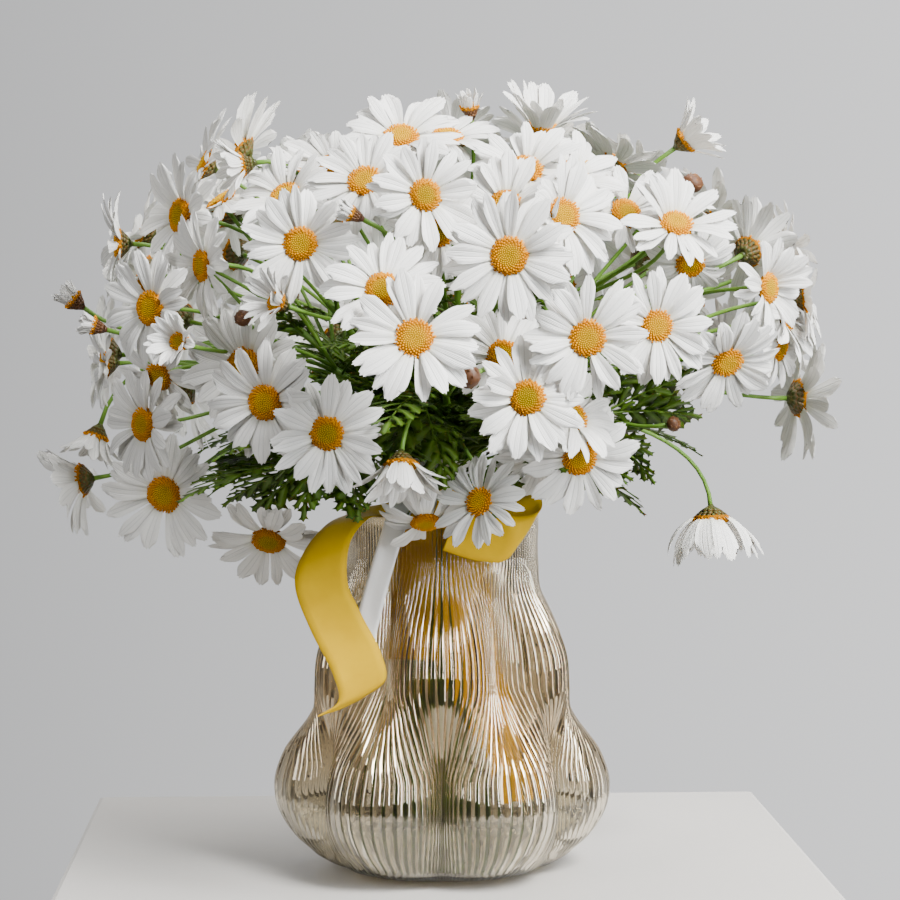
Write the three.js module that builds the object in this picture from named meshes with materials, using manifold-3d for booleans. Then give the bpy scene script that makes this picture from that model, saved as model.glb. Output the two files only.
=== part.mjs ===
// A bunch of marguerite daisies standing in a ribbed, lobed glass vase, tied with a yellow and a white
// satin ribbon. Millimetres, +Z up. The origin is the middle of the vase's foot, and -Y is the front.
//
// Each flowering stem is one solid: the stem from its cut end in the water, its forks, and the heads and
// buds they carry. Leafy stems, the two ribbons, the water and the glass are solids of their own, and
// none touches another.
import * as THREE from 'three';
import { mergeVertices } from 'three/addons/utils/BufferGeometryUtils.js';
import Module from 'manifold-3d';

const wasm = await Module();
wasm.setup();

// ---- driving dimensions -------------------------------------------------------------------------

const GAP = 0.3; // clearance between neighbouring solids

const VASE_HEIGHT = 180;
const GLASS = 3; // wall
const FLOOR = 5; // glass under the water
const LOBES = 6; // in each of the two tiers
const RIBS = 48; // round the glass, larger than life
const RIB_DEPTH = 1.4;
const WATER_LEVEL = 34;

const TIE_Z = 186; // the yellow ribbon is tied round the stems here, and the white one above it
const WHITE_TIE_Z = TIE_Z + 17;
const TIE_RADIUS = 20.6;
const TIE_REACH = 22; // the stems run straight for so far on each side of its middle
const STEM_PITCH = 5.85; // between neighbouring stems at the tie
const STEM_SPLAY = 1.25; // how much wider the stems stand at their cut ends
const STEM_END_Z = 9;
const STEM_RADIUS = 2.1;
const STEM_SIDES = 3;
const LEAFY_RADIUS = 1.6;
const STALK_RADIUS = 1.05; // of the forks that carry the heads
const STALK_ROOT = 0.8; // where it is sunk in the stem
const STALK_STATIONS = [0, 0.5, 1];
const STEM_STATIONS = [0, 0.4, 0.6, 0.7, 0.8, 0.9, 1];
const FORK_STEP = 0.035; // along a stem, from the stalk of one head to the next

const DOME = { x: 185, y: 150, z: 120, centre: 275 }; // half axes and middle height of the cloud of heads
const EYE = { distance: 1250, height: 277 }; // where the front view was read from

const DISC_SHARE = 0.14; // radius of the yellow disc, as a share of the head's width
const BRUSH_SHARE = 0.2; // the same, of a bud that just shows its petals
const CALYX_DEPTH = 6;
const TIP_SHARE = 0.72; // how much of its room a petal's blunt tip takes up
const PETAL_THICKNESS = 1.3;
const STEEPEST = 84; // degrees that a petal may rise, so that petals don't cross over the disc

const YELLOW_WIDTH = 25;
const WHITE_WIDTH = 12;
const RIBBON_THICKNESS = 0.8;

const COLOURS = {
  glass: { color: 0xcfc8ba, roughness: 0.08, metalness: 0.3, transparent: true, opacity: 0.45 },
  water: { color: 0xdfe8ea, roughness: 0.02, metalness: 0, transparent: true, opacity: 0.4 },
  petals: { color: 0xf3f3ee, roughness: 0.6, metalness: 0 },
  leaves: { color: 0x2f5a1c, roughness: 0.55, metalness: 0 },
  yellow_satin: { color: 0xf2cc00, roughness: 0.35, metalness: 0 },
  white_satin: { color: 0xe9e6df, roughness: 0.35, metalness: 0 },
};

// The heads seen from the front, one list for each flowering stem. Each head is
// [across, up, sink, turn, lift, width, kind]. across, up and width are as seen on the upright plane
// through the vase's axis, so a nearer head is smaller than its width. sink sets it back from the cloud's
// surface. turn and lift are the way it faces, in degrees: turn 0 is to the front and 90 to the right.
// Kinds: flat, cupped (half open), bell (hanging, its petals drooped), reflexed (petals swept back),
// brush (a bud just showing its petals) and bud.
const SPRAYS = [
  [[-118, 352, 40, -75, 25, 60, 'flat'], [-99, 352, 15, -82, -12, 42, 'cupped'],
    [-130, 327, 20, -52, 4, 62, 'flat']],
  [[-161, 313, 20, -80, 0, 58, 'flat'], [-145, 281, 0, -38, 0, 62, 'flat'],
    [-184, 285, 0, -78, 38, 28, 'brush'], [-174, 272, 0, -76, 16, 23, 'brush']],
  [[-168, 253, 30, -75, -4, 50, 'flat'], [-149, 223, 10, -45, 0, 60, 'flat'],
    [-173, 217, 15, -60, -70, 44, 'cupped']],
  [[-180, 195, 20, -104, -8, 58, 'flat'], [-139, 188, 0, -18, -12, 66, 'flat'],
    [-141, 247, 36, -30, -20, 52, 'flat']],
  [[-119, 302, 10, -55, -5, 56, 'flat'], [-131, 264, -12, -30, 12, 38, 'cupped'],
    [-98, 252, 34, -20, 0, 66, 'flat'], [-99, 276, 25, -20, 25, 9, 'bud']],
  [[-88, 234, 0, -24, -4, 64, 'flat'], [-57, 218, -8, -2, 4, 62, 'flat'],
    [-87, 165, 20, -10, -42, 62, 'flat']],
  [[-70, 313, 5, -4, 2, 60, 'flat'], [-82, 284, 0, -48, 18, 42, 'cupped'],
    [-78, 337, 38, -30, 40, 56, 'flat'], [-45, 328, -10, -75, 24, 21, 'brush']],
  [[-38, 344, 2, -8, 30, 60, 'flat'], [-20, 366, 14, 0, 46, 62, 'flat'],
    [-55, 352, 40, -20, 50, 56, 'flat']],
  [[3, 366, 34, 8, 58, 54, 'flat'], [14, 381, 24, -20, 68, 25, 'brush'],
    [6, 366, 80, 170, 34, 50, 'flat'], [50, 371, 30, 28, 66, 60, 'cupped']],
  [[-8, 337, -12, 18, 5, 58, 'flat'], [-1, 318, 12, 0, 12, 52, 'flat'],
    [32, 332, 14, -6, 24, 58, 'flat']],
  [[-29, 290, -22, 0, 24, 64, 'flat'], [-13, 266, -34, 0, 12, 70, 'flat'],
    [31, 257, 14, 0, 22, 58, 'flat'], [14, 247, -24, -30, -10, 13, 'bud']],
  [[34, 307, -22, 0, 0, 68, 'flat'], [61, 327, -2, 26, 12, 64, 'flat'],
    [42, 350, 14, 4, 42, 62, 'flat'], [41, 280, -4, 10, -20, 10, 'bud']],
  [[66, 347, 22, 36, 36, 58, 'flat'], [86, 352, 52, 120, 50, 58, 'flat'],
    [92, 328, 24, 22, 26, 56, 'flat'], [121, 364, 20, 74, 34, 48, 'cupped']],
  [[117, 323, -8, 14, 44, 62, 'flat'], [113, 336, -4, 0, 52, 30, 'brush'],
    [125, 343, 10, 40, 60, 11, 'bud'], [124, 303, 20, 4, -34, 50, 'reflexed']],
  [[153, 309, 5, 142, 18, 58, 'flat'], [172, 311, 40, 100, 20, 50, 'flat'],
    [163, 291, -18, 50, 0, 54, 'flat']],
  [[73, 266, -16, 5, 0, 66, 'flat'], [108, 272, -10, 12, 0, 60, 'flat'],
    [143, 254, -12, 20, -32, 58, 'flat'], [145, 268, 10, 30, 30, 8, 'bud']],
  [[181, 286, 10, 82, 4, 52, 'flat'], [172, 277, 30, 62, 10, 52, 'flat'],
    [178, 236, 0, 112, 0, 66, 'flat'], [169, 261, 34, 60, -14, 46, 'flat']],
  [[43, 236, -18, 0, 8, 64, 'flat'], [66, 227, 12, 40, 34, 56, 'flat'],
    [69, 206, 10, 12, -18, 62, 'flat'], [52, 207, 26, -4, -34, 52, 'flat']],
  [[135, 176, 0, 20, -84, 68, 'bell'], [116, 223, 30, 60, 10, 8, 'bud']],
  [[19, 184, 6, -34, 18, 52, 'flat'], [-8, 174, 8, 6, -56, 52, 'reflexed'],
    [-20, 203, -6, 4, -72, 60, 'cupped']],
  // Two stems that fill the sides and the crown behind the heads that can be seen.
  [[-166, 258, 96, -98, 4, 60, 'flat'], [-148, 318, 84, -90, 30, 60, 'flat'],
    [-110, 334, 88, -66, 52, 60, 'flat'], [-68, 350, 116, -40, 70, 60, 'flat']],
  [[174, 256, 92, 98, 0, 60, 'flat'], [158, 300, 72, 92, 24, 56, 'flat'],
    [112, 338, 92, 70, 52, 60, 'flat'], [68, 352, 116, 40, 70, 60, 'flat']],
];

// The back of the bunch, which isn't seen from the front: heads spread evenly over the rest of the cloud.
const BACK = {
  heads: 30, on_a_stem: 5, from: 106, to: 254, lowest: -24, highest: 62, size: 0.92, width: 66, jitter: 8,
};

// Tips of the leafy stems [x, y, z], which fill the bunch below and between the heads.
const LEAFY = [[-68, -62, 206], [-50, -84, 230], [-10, -84, 240], [44, -76, 216], [76, -58, 230],
  [76, 66, 222], [0, 84, 230], [-76, 64, 222]];
const LEAVES_ON_A_STEM = 3;
const LEAF = {
  length: 58, width: 40, thickness: 0.8, droop: 0.3, step: 0.09,
  turns: [-8, 62, -66], tilts: [2, -8, -14],
};

// ---- small tools --------------------------------------------------------------------------------

const rad = THREE.MathUtils.degToRad;
const V = (x, y, z) => new THREE.Vector3(x, y, z);
const mix = THREE.MathUtils.lerp;

// A repeatable number from -0.5 to 0.5 for item i, aspect k.
function spread(i, k) {
  const s = Math.sin(i * 12.9898 + k * 78.233) * 43758.5453;
  return s - Math.floor(s) - 0.5;
}

function facing(turn, lift) {
  const level = Math.cos(rad(lift));
  return V(Math.sin(rad(turn)) * level, -Math.cos(rad(turn)) * level, Math.sin(rad(lift)));
}

// A closed three.js geometry as a solid.
function solidOf(geometry) {
  const bare = new THREE.BufferGeometry().setAttribute('position', geometry.getAttribute('position'));
  if (geometry.index) bare.setIndex(geometry.index);
  const merged = mergeVertices(bare, 1e-4);
  return new wasm.Manifold(new wasm.Mesh({
    numProp: 3,
    vertProperties: new Float32Array(merged.attributes.position.array),
    triVerts: new Uint32Array(merged.index.array),
  }));
}

function geometryOf(solid) {
  const mesh = solid.getMesh();
  const geometry = new THREE.BufferGeometry();
  geometry.setAttribute('position', new THREE.BufferAttribute(new Float32Array(mesh.vertProperties), 3));
  geometry.setIndex(new THREE.BufferAttribute(new Uint32Array(mesh.triVerts), 1));
  geometry.computeVertexNormals();
  return geometry;
}

function geometryFrom(points, triangles) {
  const geometry = new THREE.BufferGeometry().setFromPoints(points);
  geometry.setIndex(triangles.flat());
  return geometry;
}

const union = (solids) => wasm.Manifold.union(solids);

// The largest body of a solid, without the scraps that a cut has left loose.
const mainBody = (solid) => solid.decompose().reduce((a, b) => (b.volume() > a.volume() ? b : a));

// What already stands in the bunch. Each solid has an owner, which is the node and sometimes one head of
// it, such as flower_stem_01/2. A new solid is tested against all but its own head's and main stem's.
const placed = [];
function place(owner, solid) {
  placed.push({ owner, solid, box: solid.boundingBox() });
  return solid;
}
const nodeOf = (owner) => owner.split('/')[0];
function boxesMeet(a, b) {
  return [0, 1, 2].every((k) => a.min[k] <= b.max[k] && b.min[k] <= a.max[k]);
}
function isClear(owner, solid) {
  const box = solid.boundingBox();
  return placed.every((other) => {
    if (other.owner === owner || other.owner === nodeOf(owner) || !boxesMeet(box, other.box)) return true;
    const common = solid.intersect(other.solid);
    const volume = common.volume();
    common.delete();
    return volume < 1e-4;
  });
}

// A curve that is followed in straight runs between the stations given, shares of its parameter.
class Runs extends THREE.Curve {
  constructor(curve, stations) {
    super();
    this.curve = curve;
    this.stations = stations;
  }
  share(u) {
    const place = u * (this.stations.length - 1);
    const k = Math.min(Math.floor(place + 1e-9), this.stations.length - 2);
    return mix(this.stations[k], this.stations[k + 1], place - k);
  }
  getPointAt(u) {
    return this.curve.getPoint(this.share(u));
  }
  getTangentAt(u) {
    return this.curve.getTangent(this.share(u));
  }
}

// A bar along a curve, with few sides.
function bar(curve, radius, sides, stations) {
  const section = new THREE.Shape();
  for (let k = 0; k < sides; k++) {
    const a = (2 * Math.PI * k) / sides;
    if (k) section.lineTo(radius * Math.cos(a), radius * Math.sin(a));
    else section.moveTo(radius, 0);
  }
  return solidOf(new THREE.ExtrudeGeometry(section, {
    steps: stations.length - 1, extrudePath: new Runs(curve, stations), bevelEnabled: false,
  }));
}

// ---- the vase and its water ---------------------------------------------------------------------

// Middle radius of the glass at a height, before the lobes: [height, radius].
const BODY = [[0, 40], [3, 52], [12, 65], [26, 73.5], [42, 75.4], [58, 72], [76, 65.5], [94, 62.7],
  [112, 60.5], [128, 55.3], [142, 49.8], [158, 47.8], [VASE_HEIGHT, 48.4]];

function along(table, at) {
  const k = Math.max(1, table.findIndex(([h]) => h >= at));
  const [[h0, v0], [h1, v1]] = [table[k - 1], table[k]];
  return mix(v0, v1, THREE.MathUtils.clamp((at - h0) / (h1 - h0), 0, 1));
}

// A smooth hump of height 1 at the middle, down to 0 at the reach.
function bell(z, middle, reach) {
  const off = Math.min(1, Math.abs(z - middle) / reach);
  return Math.max(0, Math.cos((Math.PI / 2) * off)) ** 1.5;
}

// How far the lobes push the glass out. The upper lobes face the front, and the lower ones stand
// between them.
function lobes(angle, z) {
  const lower = Math.abs(Math.cos((LOBES / 2) * (angle - Math.PI / LOBES))) - 0.6;
  const upper = Math.abs(Math.cos((LOBES / 2) * angle)) - 0.6;
  return 22 * bell(z, 44, 50) * lower + 17 * bell(z, 106, 46) * upper;
}

// A turned shape pushed out by the lobes. The profile runs from the axis round to the axis.
function lobedGeometry(profile, segments) {
  const turned = new THREE.LatheGeometry(profile.map(([z, r]) => new THREE.Vector2(r, z)), segments);
  turned.rotateX(Math.PI / 2);
  const position = turned.getAttribute('position');
  for (let i = 0; i < position.count; i++) {
    const [x, y, z] = [position.getX(i), position.getY(i), position.getZ(i)];
    const r = Math.hypot(x, y);
    if (r < 1) {
      position.setXYZ(i, 0, 0, z);
      continue;
    }
    const k = 1 + lobes(Math.atan2(x, -y), z) / r;
    position.setXYZ(i, x * k, y * k, z);
  }
  return turned;
}

// The glass is ribbed outside, with a crest on every second seam of the turned shape, and smooth inside.
function ribbed(geometry) {
  const position = geometry.getAttribute('position');
  for (let i = 0; i < position.count; i++) {
    const [x, y, z] = [position.getX(i), position.getY(i), position.getZ(i)];
    const r = Math.hypot(x, y);
    if (r < 1) continue;
    const crest = Math.cos(RIBS * Math.atan2(x, -y));
    const k = 1 + (RIB_DEPTH / 2) * crest * bell(z, 84, 130) / r;
    position.setXYZ(i, x * k, y * k, z);
  }
  return geometry;
}

function vase() {
  const outside = [[0, 0], ...BODY, [VASE_HEIGHT, 0]];
  const inside = BODY.filter(([z]) => z > FLOOR && z < 150).map(([z, r]) => [z, r - GLASS]);
  const mouth = VASE_HEIGHT + 2;
  const neck = along(BODY, VASE_HEIGHT) - GLASS;
  const hollow = [[FLOOR, 0], [FLOOR, 50], ...inside, [mouth, neck], [mouth, 0]];
  const filled = solidOf(ribbed(lobedGeometry(outside, 2 * RIBS)));
  return filled.subtract(solidOf(lobedGeometry(hollow, 4 * LOBES)));
}

function water() {
  const wet = [12, 26, WATER_LEVEL].map((z) => [z, along(BODY, z) - GLASS - 2 * GAP]);
  const profile = [[FLOOR + GAP, 0], [FLOOR + GAP, 48], ...wet, [WATER_LEVEL, 0]];
  return solidOf(lobedGeometry(profile, 4 * LOBES));
}

// ---- stems --------------------------------------------------------------------------------------

// Places of the stems at the tie, ring by ring: 1, 6, 12, 18.
function tieSlots(count) {
  const slots = [V(0, 0, 0)];
  for (let ring = 1; slots.length < count; ring++) {
    for (let k = 0; k < 6 * ring; k++) {
      const a = (2 * Math.PI * (k + 0.5 * (ring % 2))) / (6 * ring);
      slots.push(V(Math.sin(a), -Math.cos(a), 0).multiplyScalar(ring * STEM_PITCH));
    }
  }
  return slots;
}

// The most leaning stem first, each takes the free slot that lies furthest towards where it goes, so that
// stems don't cross at the tie.
function assignSlots(targets) {
  const slots = tieSlots(targets.length);
  const lean = (t) => Math.atan2(Math.hypot(t.x, t.y), t.z - TIE_Z - TIE_REACH);
  const order = targets.map((t, i) => [lean(t), i]).sort((a, b) => b[0] - a[0]);
  const taken = [];
  for (const [, i] of order) {
    const way = V(targets[i].x, targets[i].y, 0).normalize();
    const best = slots.reduce((a, b) => (b.dot(way) > a.dot(way) ? b : a));
    slots.splice(slots.indexOf(best), 1);
    taken[i] = best;
  }
  return taken;
}

// From the cut end straight up through the tie, and from there out to the fork.
const stemPath = (slot, fork, sway = V(0, 0, 0)) => new THREE.CatmullRomCurve3([
  V(slot.x * STEM_SPLAY, slot.y * STEM_SPLAY, STEM_END_Z),
  V(slot.x * 1.05, slot.y * 1.05, 110),
  V(slot.x, slot.y, TIE_Z - TIE_REACH),
  V(slot.x, slot.y, TIE_Z + TIE_REACH),
  V(slot.x, slot.y, TIE_Z + TIE_REACH).lerp(fork, 0.5).add(V(0, 0, 4)).add(sway),
  fork,
], false, 'centripetal');

// ---- heads --------------------------------------------------------------------------------------

const KINDS = {
  flat: { petals: 8, rise: 6 },
  back: { petals: 6, rise: 8 },
  cupped: { petals: 8, rise: 46 },
  bell: { petals: 8, rise: 55 },
  reflexed: { petals: 8, rise: -28 },
  brush: { petals: 5, rise: 78 },
};

// Where a head seen from the front stands. It lies on the line of sight through its place on the
// upright plane.
function fromFront([across, up, sink, turn, lift, width, kind]) {
  const inside = 1 - (across / DOME.x) ** 2 - ((up - DOME.centre) / DOME.z) ** 2;
  const y = -DOME.y * Math.sqrt(Math.max(0, inside)) + sink;
  const nearer = (EYE.distance + y) / EYE.distance;
  const at = V(across * nearer, y, EYE.height + (up - EYE.height) * nearer);
  const behind = kind === 'flat' && sink > 15;
  return { at, way: facing(turn, lift), width: width * nearer, kind: behind ? 'back' : kind };
}

function backHeads() {
  const golden = (Math.sqrt(5) - 1) / 2;
  const heads = Array.from({ length: BACK.heads }, (_, i) => {
    const turn = mix(BACK.from, BACK.to, ((i + 0.5) * golden) % 1);
    const height = mix(Math.sin(rad(BACK.lowest)), Math.sin(rad(BACK.highest)), (i + 0.5) / BACK.heads);
    const lift = THREE.MathUtils.radToDeg(Math.asin(height));
    const way = facing(turn, lift);
    const out = BACK.size - 0.12 * (0.5 + spread(i, 3));
    const reach = V(DOME.x, DOME.y, DOME.z).multiplyScalar(out);
    const at = way.clone().multiply(reach).add(V(0, 0, DOME.centre));
    const off = 3 * BACK.jitter;
    const faces = facing(turn + off * spread(i, 4), lift * 0.8 + off * spread(i, 5));
    return { at, way: faces, width: BACK.width + 8 * spread(i, 6), kind: 'back', turn };
  });
  return heads.sort((a, b) => a.turn - b.turn);
}

// The turn that carries +Z to the way a head faces, and its place.
function stance(head) {
  const turn = new THREE.Quaternion().setFromUnitVectors(V(0, 0, 1), head.way);
  return new THREE.Matrix4().compose(head.at, turn, V(1, 1, 1));
}

function discRadius({ kind, width }) {
  return Math.max(2.6, (kind === 'brush' ? BRUSH_SHARE : DISC_SHARE) * width);
}

// A point of a petal: so far from the disc's edge along a blade that rises by an angle.
function onBlade(head, angle, out, rise, proud = 0) {
  const r = discRadius(head) + out * Math.cos(rise) - proud * Math.sin(rise);
  return V(r * Math.cos(angle), r * Math.sin(angle), out * Math.sin(rise) + proud * Math.cos(rise));
}

// One petal by itself, a little fatter than life, to test whether the space is free.
function petalProbe(head, blade) {
  const { angle, half, length, rise } = blade;
  const t = PETAL_THICKNESS / 2 + GAP;
  const box = new THREE.BoxGeometry(1, 1, 1);
  const corners = box.getAttribute('position');
  for (let i = 0; i < corners.count; i++) {
    const tip = corners.getX(i) > 0;
    const across = angle + (tip ? 0.8 : 1) * half * 2 * corners.getY(i);
    const at = onBlade(head, across, tip ? length + GAP : 1, rise, 2 * t * corners.getZ(i));
    corners.setXYZ(i, at.x, at.y, at.z);
  }
  return solidOf(box.applyMatrix4(stance(head)));
}

// The blades of a head. Each is bent, and at last shortened, until it is clear of everything already
// placed. One that finds no room is left out.
function blades(head, owner) {
  const { petals, rise } = KINDS[head.kind];
  const full = head.width / 2 - discRadius(head);
  const half = (0.84 * Math.PI) / petals;
  return Array.from({ length: petals }, (_, i) => {
    const angle = (2 * Math.PI * (i + 0.5)) / petals;
    const base = rise + 14 * spread(placed.length + i, 7);
    for (const share of [1, 0.8, 0.6, 0.4, 0.25]) {
      for (const bend of [0, -9, 9, -18, 18, -28, 28, -40, 40, -60, 60]) {
        if (base + bend > STEEPEST) continue;
        const blade = { angle, half, length: full * share, rise: rad(base + bend) };
        const probe = petalProbe(head, blade);
        if (isClear(owner, probe)) {
          place(owner, probe);
          return blade;
        }
        probe.delete();
      }
    }
    return null;
  });
}

// Triangles between two rings of points that are spaced evenly from the same angle, a seen from outside.
function strip(a, b) {
  const faces = [];
  let [i, j] = [0, 0];
  while (i < a.length || j < b.length) {
    const turnA = j === b.length || (i < a.length && (i + 1) / a.length <= (j + 1) / b.length);
    if (turnA) faces.push([a[i], a[(i + 1) % a.length], b[j % b.length]]);
    else faces.push([b[(j + 1) % b.length], b[j], a[i % a.length]]);
    if (turnA) i++;
    else j++;
  }
  return faces;
}

// Rings of a stalk from the head's calyx down its curve, three points each, and their skin.
function stalkSkin(head, curve, points, collar) {
  const faces = [];
  const axes = stance(head);
  const side = V(1, 0, 0).transformDirection(axes);
  const heading = head.way.clone().negate();
  let above = collar;
  for (const share of STALK_STATIONS.toReversed()) {
    const at = curve.getPoint(share);
    const next = curve.getTangent(share).negate();
    side.applyQuaternion(new THREE.Quaternion().setFromUnitVectors(heading, next)).normalize();
    heading.copy(next);
    const other = heading.clone().cross(side);
    const ring = [0, 1, 2].map((k) => {
      const a = (2 * Math.PI * k) / 3;
      const out = side.clone().multiplyScalar(Math.cos(a)).addScaledVector(other, -Math.sin(a));
      return points.push(at.clone().addScaledVector(out, share ? STALK_RADIUS : STALK_ROOT)) - 1;
    });
    faces.push(...strip(ring, above));
    above = ring;
  }
  return [...faces, [above[0], above[2], above[1]]];
}

// A head in one closed skin with its stalk: blunt petals with a raised middle, a button for a disc, and
// the calyx.
function headSolid(head, petals, curve) {
  const n = petals.length;
  const r = discRadius(head);
  const axes = stance(head);
  const points = [];
  const add = (p) => points.push(p.applyMatrix4(axes)) - 1;
  const ringPoint = (k, count, radius, z) => {
    const a = (2 * Math.PI * k) / count;
    return V(radius * Math.cos(a), radius * Math.sin(a), z);
  };
  const plain = head.kind === 'back'; // its petals are flat above, and thicker at the root instead
  const half = plain ? 0.8 : 0.5;
  const tops = petals.map((_, i) => add(ringPoint(i, n, r, half)));
  const unders = petals.map((_, i) => add(ringPoint(i, n, r, -half)));
  const button = [0, 1, 2, 3, 4].map((k) => add(ringPoint(k, 5, 0.66 * r, 0.42 * r)));
  const faces = strip(tops, button);
  for (const k of [1, 2, 3]) faces.push([button[0], button[k], button[k + 1]]);
  petals.forEach((blade, i) => {
    const [top, under, nextTop, nextUnder] = [tops[i], unders[i], tops[(i + 1) % n], unders[(i + 1) % n]];
    if (!blade) {
      faces.push([top, under, nextUnder], [top, nextUnder, nextTop]);
      return;
    }
    const a = add(onBlade(head, blade.angle - TIP_SHARE * blade.half, blade.length, blade.rise));
    const b = add(onBlade(head, blade.angle + TIP_SHARE * blade.half, blade.length, blade.rise));
    faces.push([under, nextUnder, b], [under, b, a], [top, under, a], [nextUnder, nextTop, b]);
    if (plain) {
      faces.push([top, a, b], [top, b, nextTop]);
      return;
    }
    const middle = add(onBlade(head, blade.angle, 0.6 * blade.length, blade.rise, PETAL_THICKNESS));
    faces.push([middle, top, a], [middle, a, b], [middle, b, nextTop], [middle, nextTop, top]);
  });
  faces.push(...stalkSkin(head, curve, points, unders));
  return solidOf(geometryFrom(points, faces));
}

// A closed bud: a plump spindle with its stalk.
function budSolid(head, curve) {
  const r = head.width / 2;
  const axes = stance(head);
  const points = [V(0, 0, r).applyMatrix4(axes)];
  for (const [radius, z] of [[r, 0.15 * r], [0.5 * r, -0.8 * r]]) {
    for (let k = 0; k < 5; k++) {
      const a = (2 * Math.PI * k) / 5;
      points.push(V(radius * Math.cos(a), radius * Math.sin(a), z).applyMatrix4(axes));
    }
  }
  const [upper, lower] = [[1, 2, 3, 4, 5], [6, 7, 8, 9, 10]];
  const crown = upper.map((p, k) => [0, p, upper[(k + 1) % 5]]);
  const faces = [...crown, ...strip(lower, upper), ...stalkSkin(head, curve, points, lower)];
  return solidOf(geometryFrom(points, faces));
}

// The disc and calyx alone, fattened, which a stalk or another head mustn't run through.
function heartProbe(head) {
  const r = head.kind === 'bud' ? head.width / 2 : discRadius(head);
  const heart = new THREE.CylinderGeometry(r + GAP, r * 0.6 + GAP, CALYX_DEPTH + 4, 8);
  heart.rotateX(Math.PI / 2);
  heart.translate(0, 0, -1);
  return solidOf(heart.applyMatrix4(stance(head)));
}

// ---- a flowering stem ---------------------------------------------------------------------------

function forkOf(heads) {
  const tie = V(0, 0, TIE_Z + TIE_REACH);
  const middle = heads.reduce((sum, h) => sum.add(h.at), V(0, 0, 0)).divideScalar(heads.length);
  const low = Math.max(0, 250 - middle.z);
  return tie.lerp(middle, 0.5).add(V(0, 0, 10 + 0.35 * low));
}

// The stalk leaves the fork and comes to the head from behind, swung aside by sway where the straight way
// is taken.
function stalkCurve(fork, head, sway) {
  const back = head.kind === 'bud' ? 0.4 * head.width : CALYX_DEPTH - 1.5;
  const end = head.at.clone().addScaledVector(head.way, -back);
  const reach = end.distanceTo(fork);
  const leave = fork.clone().lerp(end, 0.3).add(V(0, 0, 0.12 * reach)).add(sway);
  const arrive = end.clone().addScaledVector(head.way, -0.4 * reach).add(sway);
  return new THREE.CubicBezierCurve3(fork, leave, arrive, end);
}

// The first of the curves along which a bar touches nothing that is already placed.
function clearWay(owner, curves, radius, sides, stations, keptAs = owner) {
  for (const curve of curves) {
    const probe = bar(curve, radius + GAP, sides, stations);
    if (isClear(owner, probe)) {
      place(keptAs, probe);
      return curve;
    }
    probe.delete();
  }
  throw new Error(`${owner} has a stalk with no clear way`);
}

const sways = [V(0, 0, 0)];
for (const size of [5, 11, 18, 27, 38]) {
  for (let k = 0; k < 8; k++) {
    const [c, s] = [size * Math.cos((Math.PI * k) / 4), size * Math.sin((Math.PI * k) / 4)];
    sways.push(V(c, s, 0), V(0, c, s));
  }
}

// ---- leaves -------------------------------------------------------------------------------------

// A thin solid from an open sheet of triangles, by a skin on each side and a wall round the edge.
function thicken(points, triangles, thickness) {
  const sheet = geometryFrom(points, triangles);
  sheet.computeVertexNormals();
  const normal = sheet.getAttribute('normal');
  const n = points.length;
  const skins = [0.5, -0.5].flatMap((side) => points.map((p, i) => {
    const out = V(0, 0, 0).fromBufferAttribute(normal, i);
    return p.clone().addScaledVector(out, side * thickness);
  }));
  const edges = new Map();
  for (const [a, b, c] of triangles) {
    for (const [p, q] of [[a, b], [b, c], [c, a]]) edges.set(`${p},${q}`, [p, q]);
  }
  const walls = [...edges.values()].filter(([p, q]) => !edges.has(`${q},${p}`))
    .flatMap(([p, q]) => [[q, p, p + n], [q, p + n, q + n]]);
  const under = triangles.map(([a, b, c]) => [a + n, c + n, b + n]);
  return geometryFrom(skins, [...triangles, ...under, ...walls]);
}

// A cut leaf along +X: a bowed rib with two pairs of pointed lobes and one at the tip.
function leafGeometry(size) {
  const { length, width, droop, thickness } = LEAF;
  const rib = [0, 0.36, 0.68, 1];
  const reaches = [0.42, 0.5];
  const bow = (x) => -droop * length * (x * x - 0.35 * x);
  const points = rib.map((x) => V(x * length, 0, bow(x)));
  const triangles = [];
  for (const side of [1, -1]) {
    const face = (a, b, c) => triangles.push(side > 0 ? [a, b, c] : [a, c, b]);
    const notches = [1, 2].map((k) => points.push(V(rib[k] * length, side * 2.2, bow(rib[k]))) - 1);
    const tips = reaches.map((reach, k) => {
      const x = mix(rib[k], rib[k + 1], 0.9);
      return points.push(V(x * length, side * reach * width, bow(x) - 3)) - 1;
    });
    face(0, 1, notches[0]);
    face(0, notches[0], tips[0]);
    face(1, 2, notches[1]);
    face(1, notches[1], notches[0]);
    face(notches[0], notches[1], tips[1]);
    face(2, 3, notches[1]);
  }
  return thicken(points, triangles, thickness).scale(size, size, size);
}

// Leaves in turn down the outer part of a leafy stem, each swung aside until it is clear.
function addLeaves({ name, path, parts }) {
  for (let k = 0; k < LEAVES_ON_A_STEM; k++) {
    const at = path.getPoint(1 - LEAF.step * k);
    const out = path.getTangent(1 - LEAF.step * k);
    const heading = THREE.MathUtils.radToDeg(Math.atan2(out.x, -out.y));
    for (const extra of [0, 20, -20, 40, -40, 62, -62, 90, -90, 130, 180]) {
      const forward = facing(heading + LEAF.turns[k] + extra, LEAF.tilts[k] - Math.abs(extra) / 5);
      const left = V(0, 0, 1).cross(forward).normalize();
      const basis = new THREE.Matrix4().makeBasis(forward, left, forward.clone().cross(left));
      basis.setPosition(at.clone().addScaledVector(forward, -1));
      const leaf = solidOf(leafGeometry(1 - 0.06 * k).applyMatrix4(basis));
      if (isClear(`${name}/${k}`, leaf)) {
        parts.push(place(`${name}/${k}`, leaf));
        break;
      }
    }
  }
}

// ---- ribbons ------------------------------------------------------------------------------------

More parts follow.
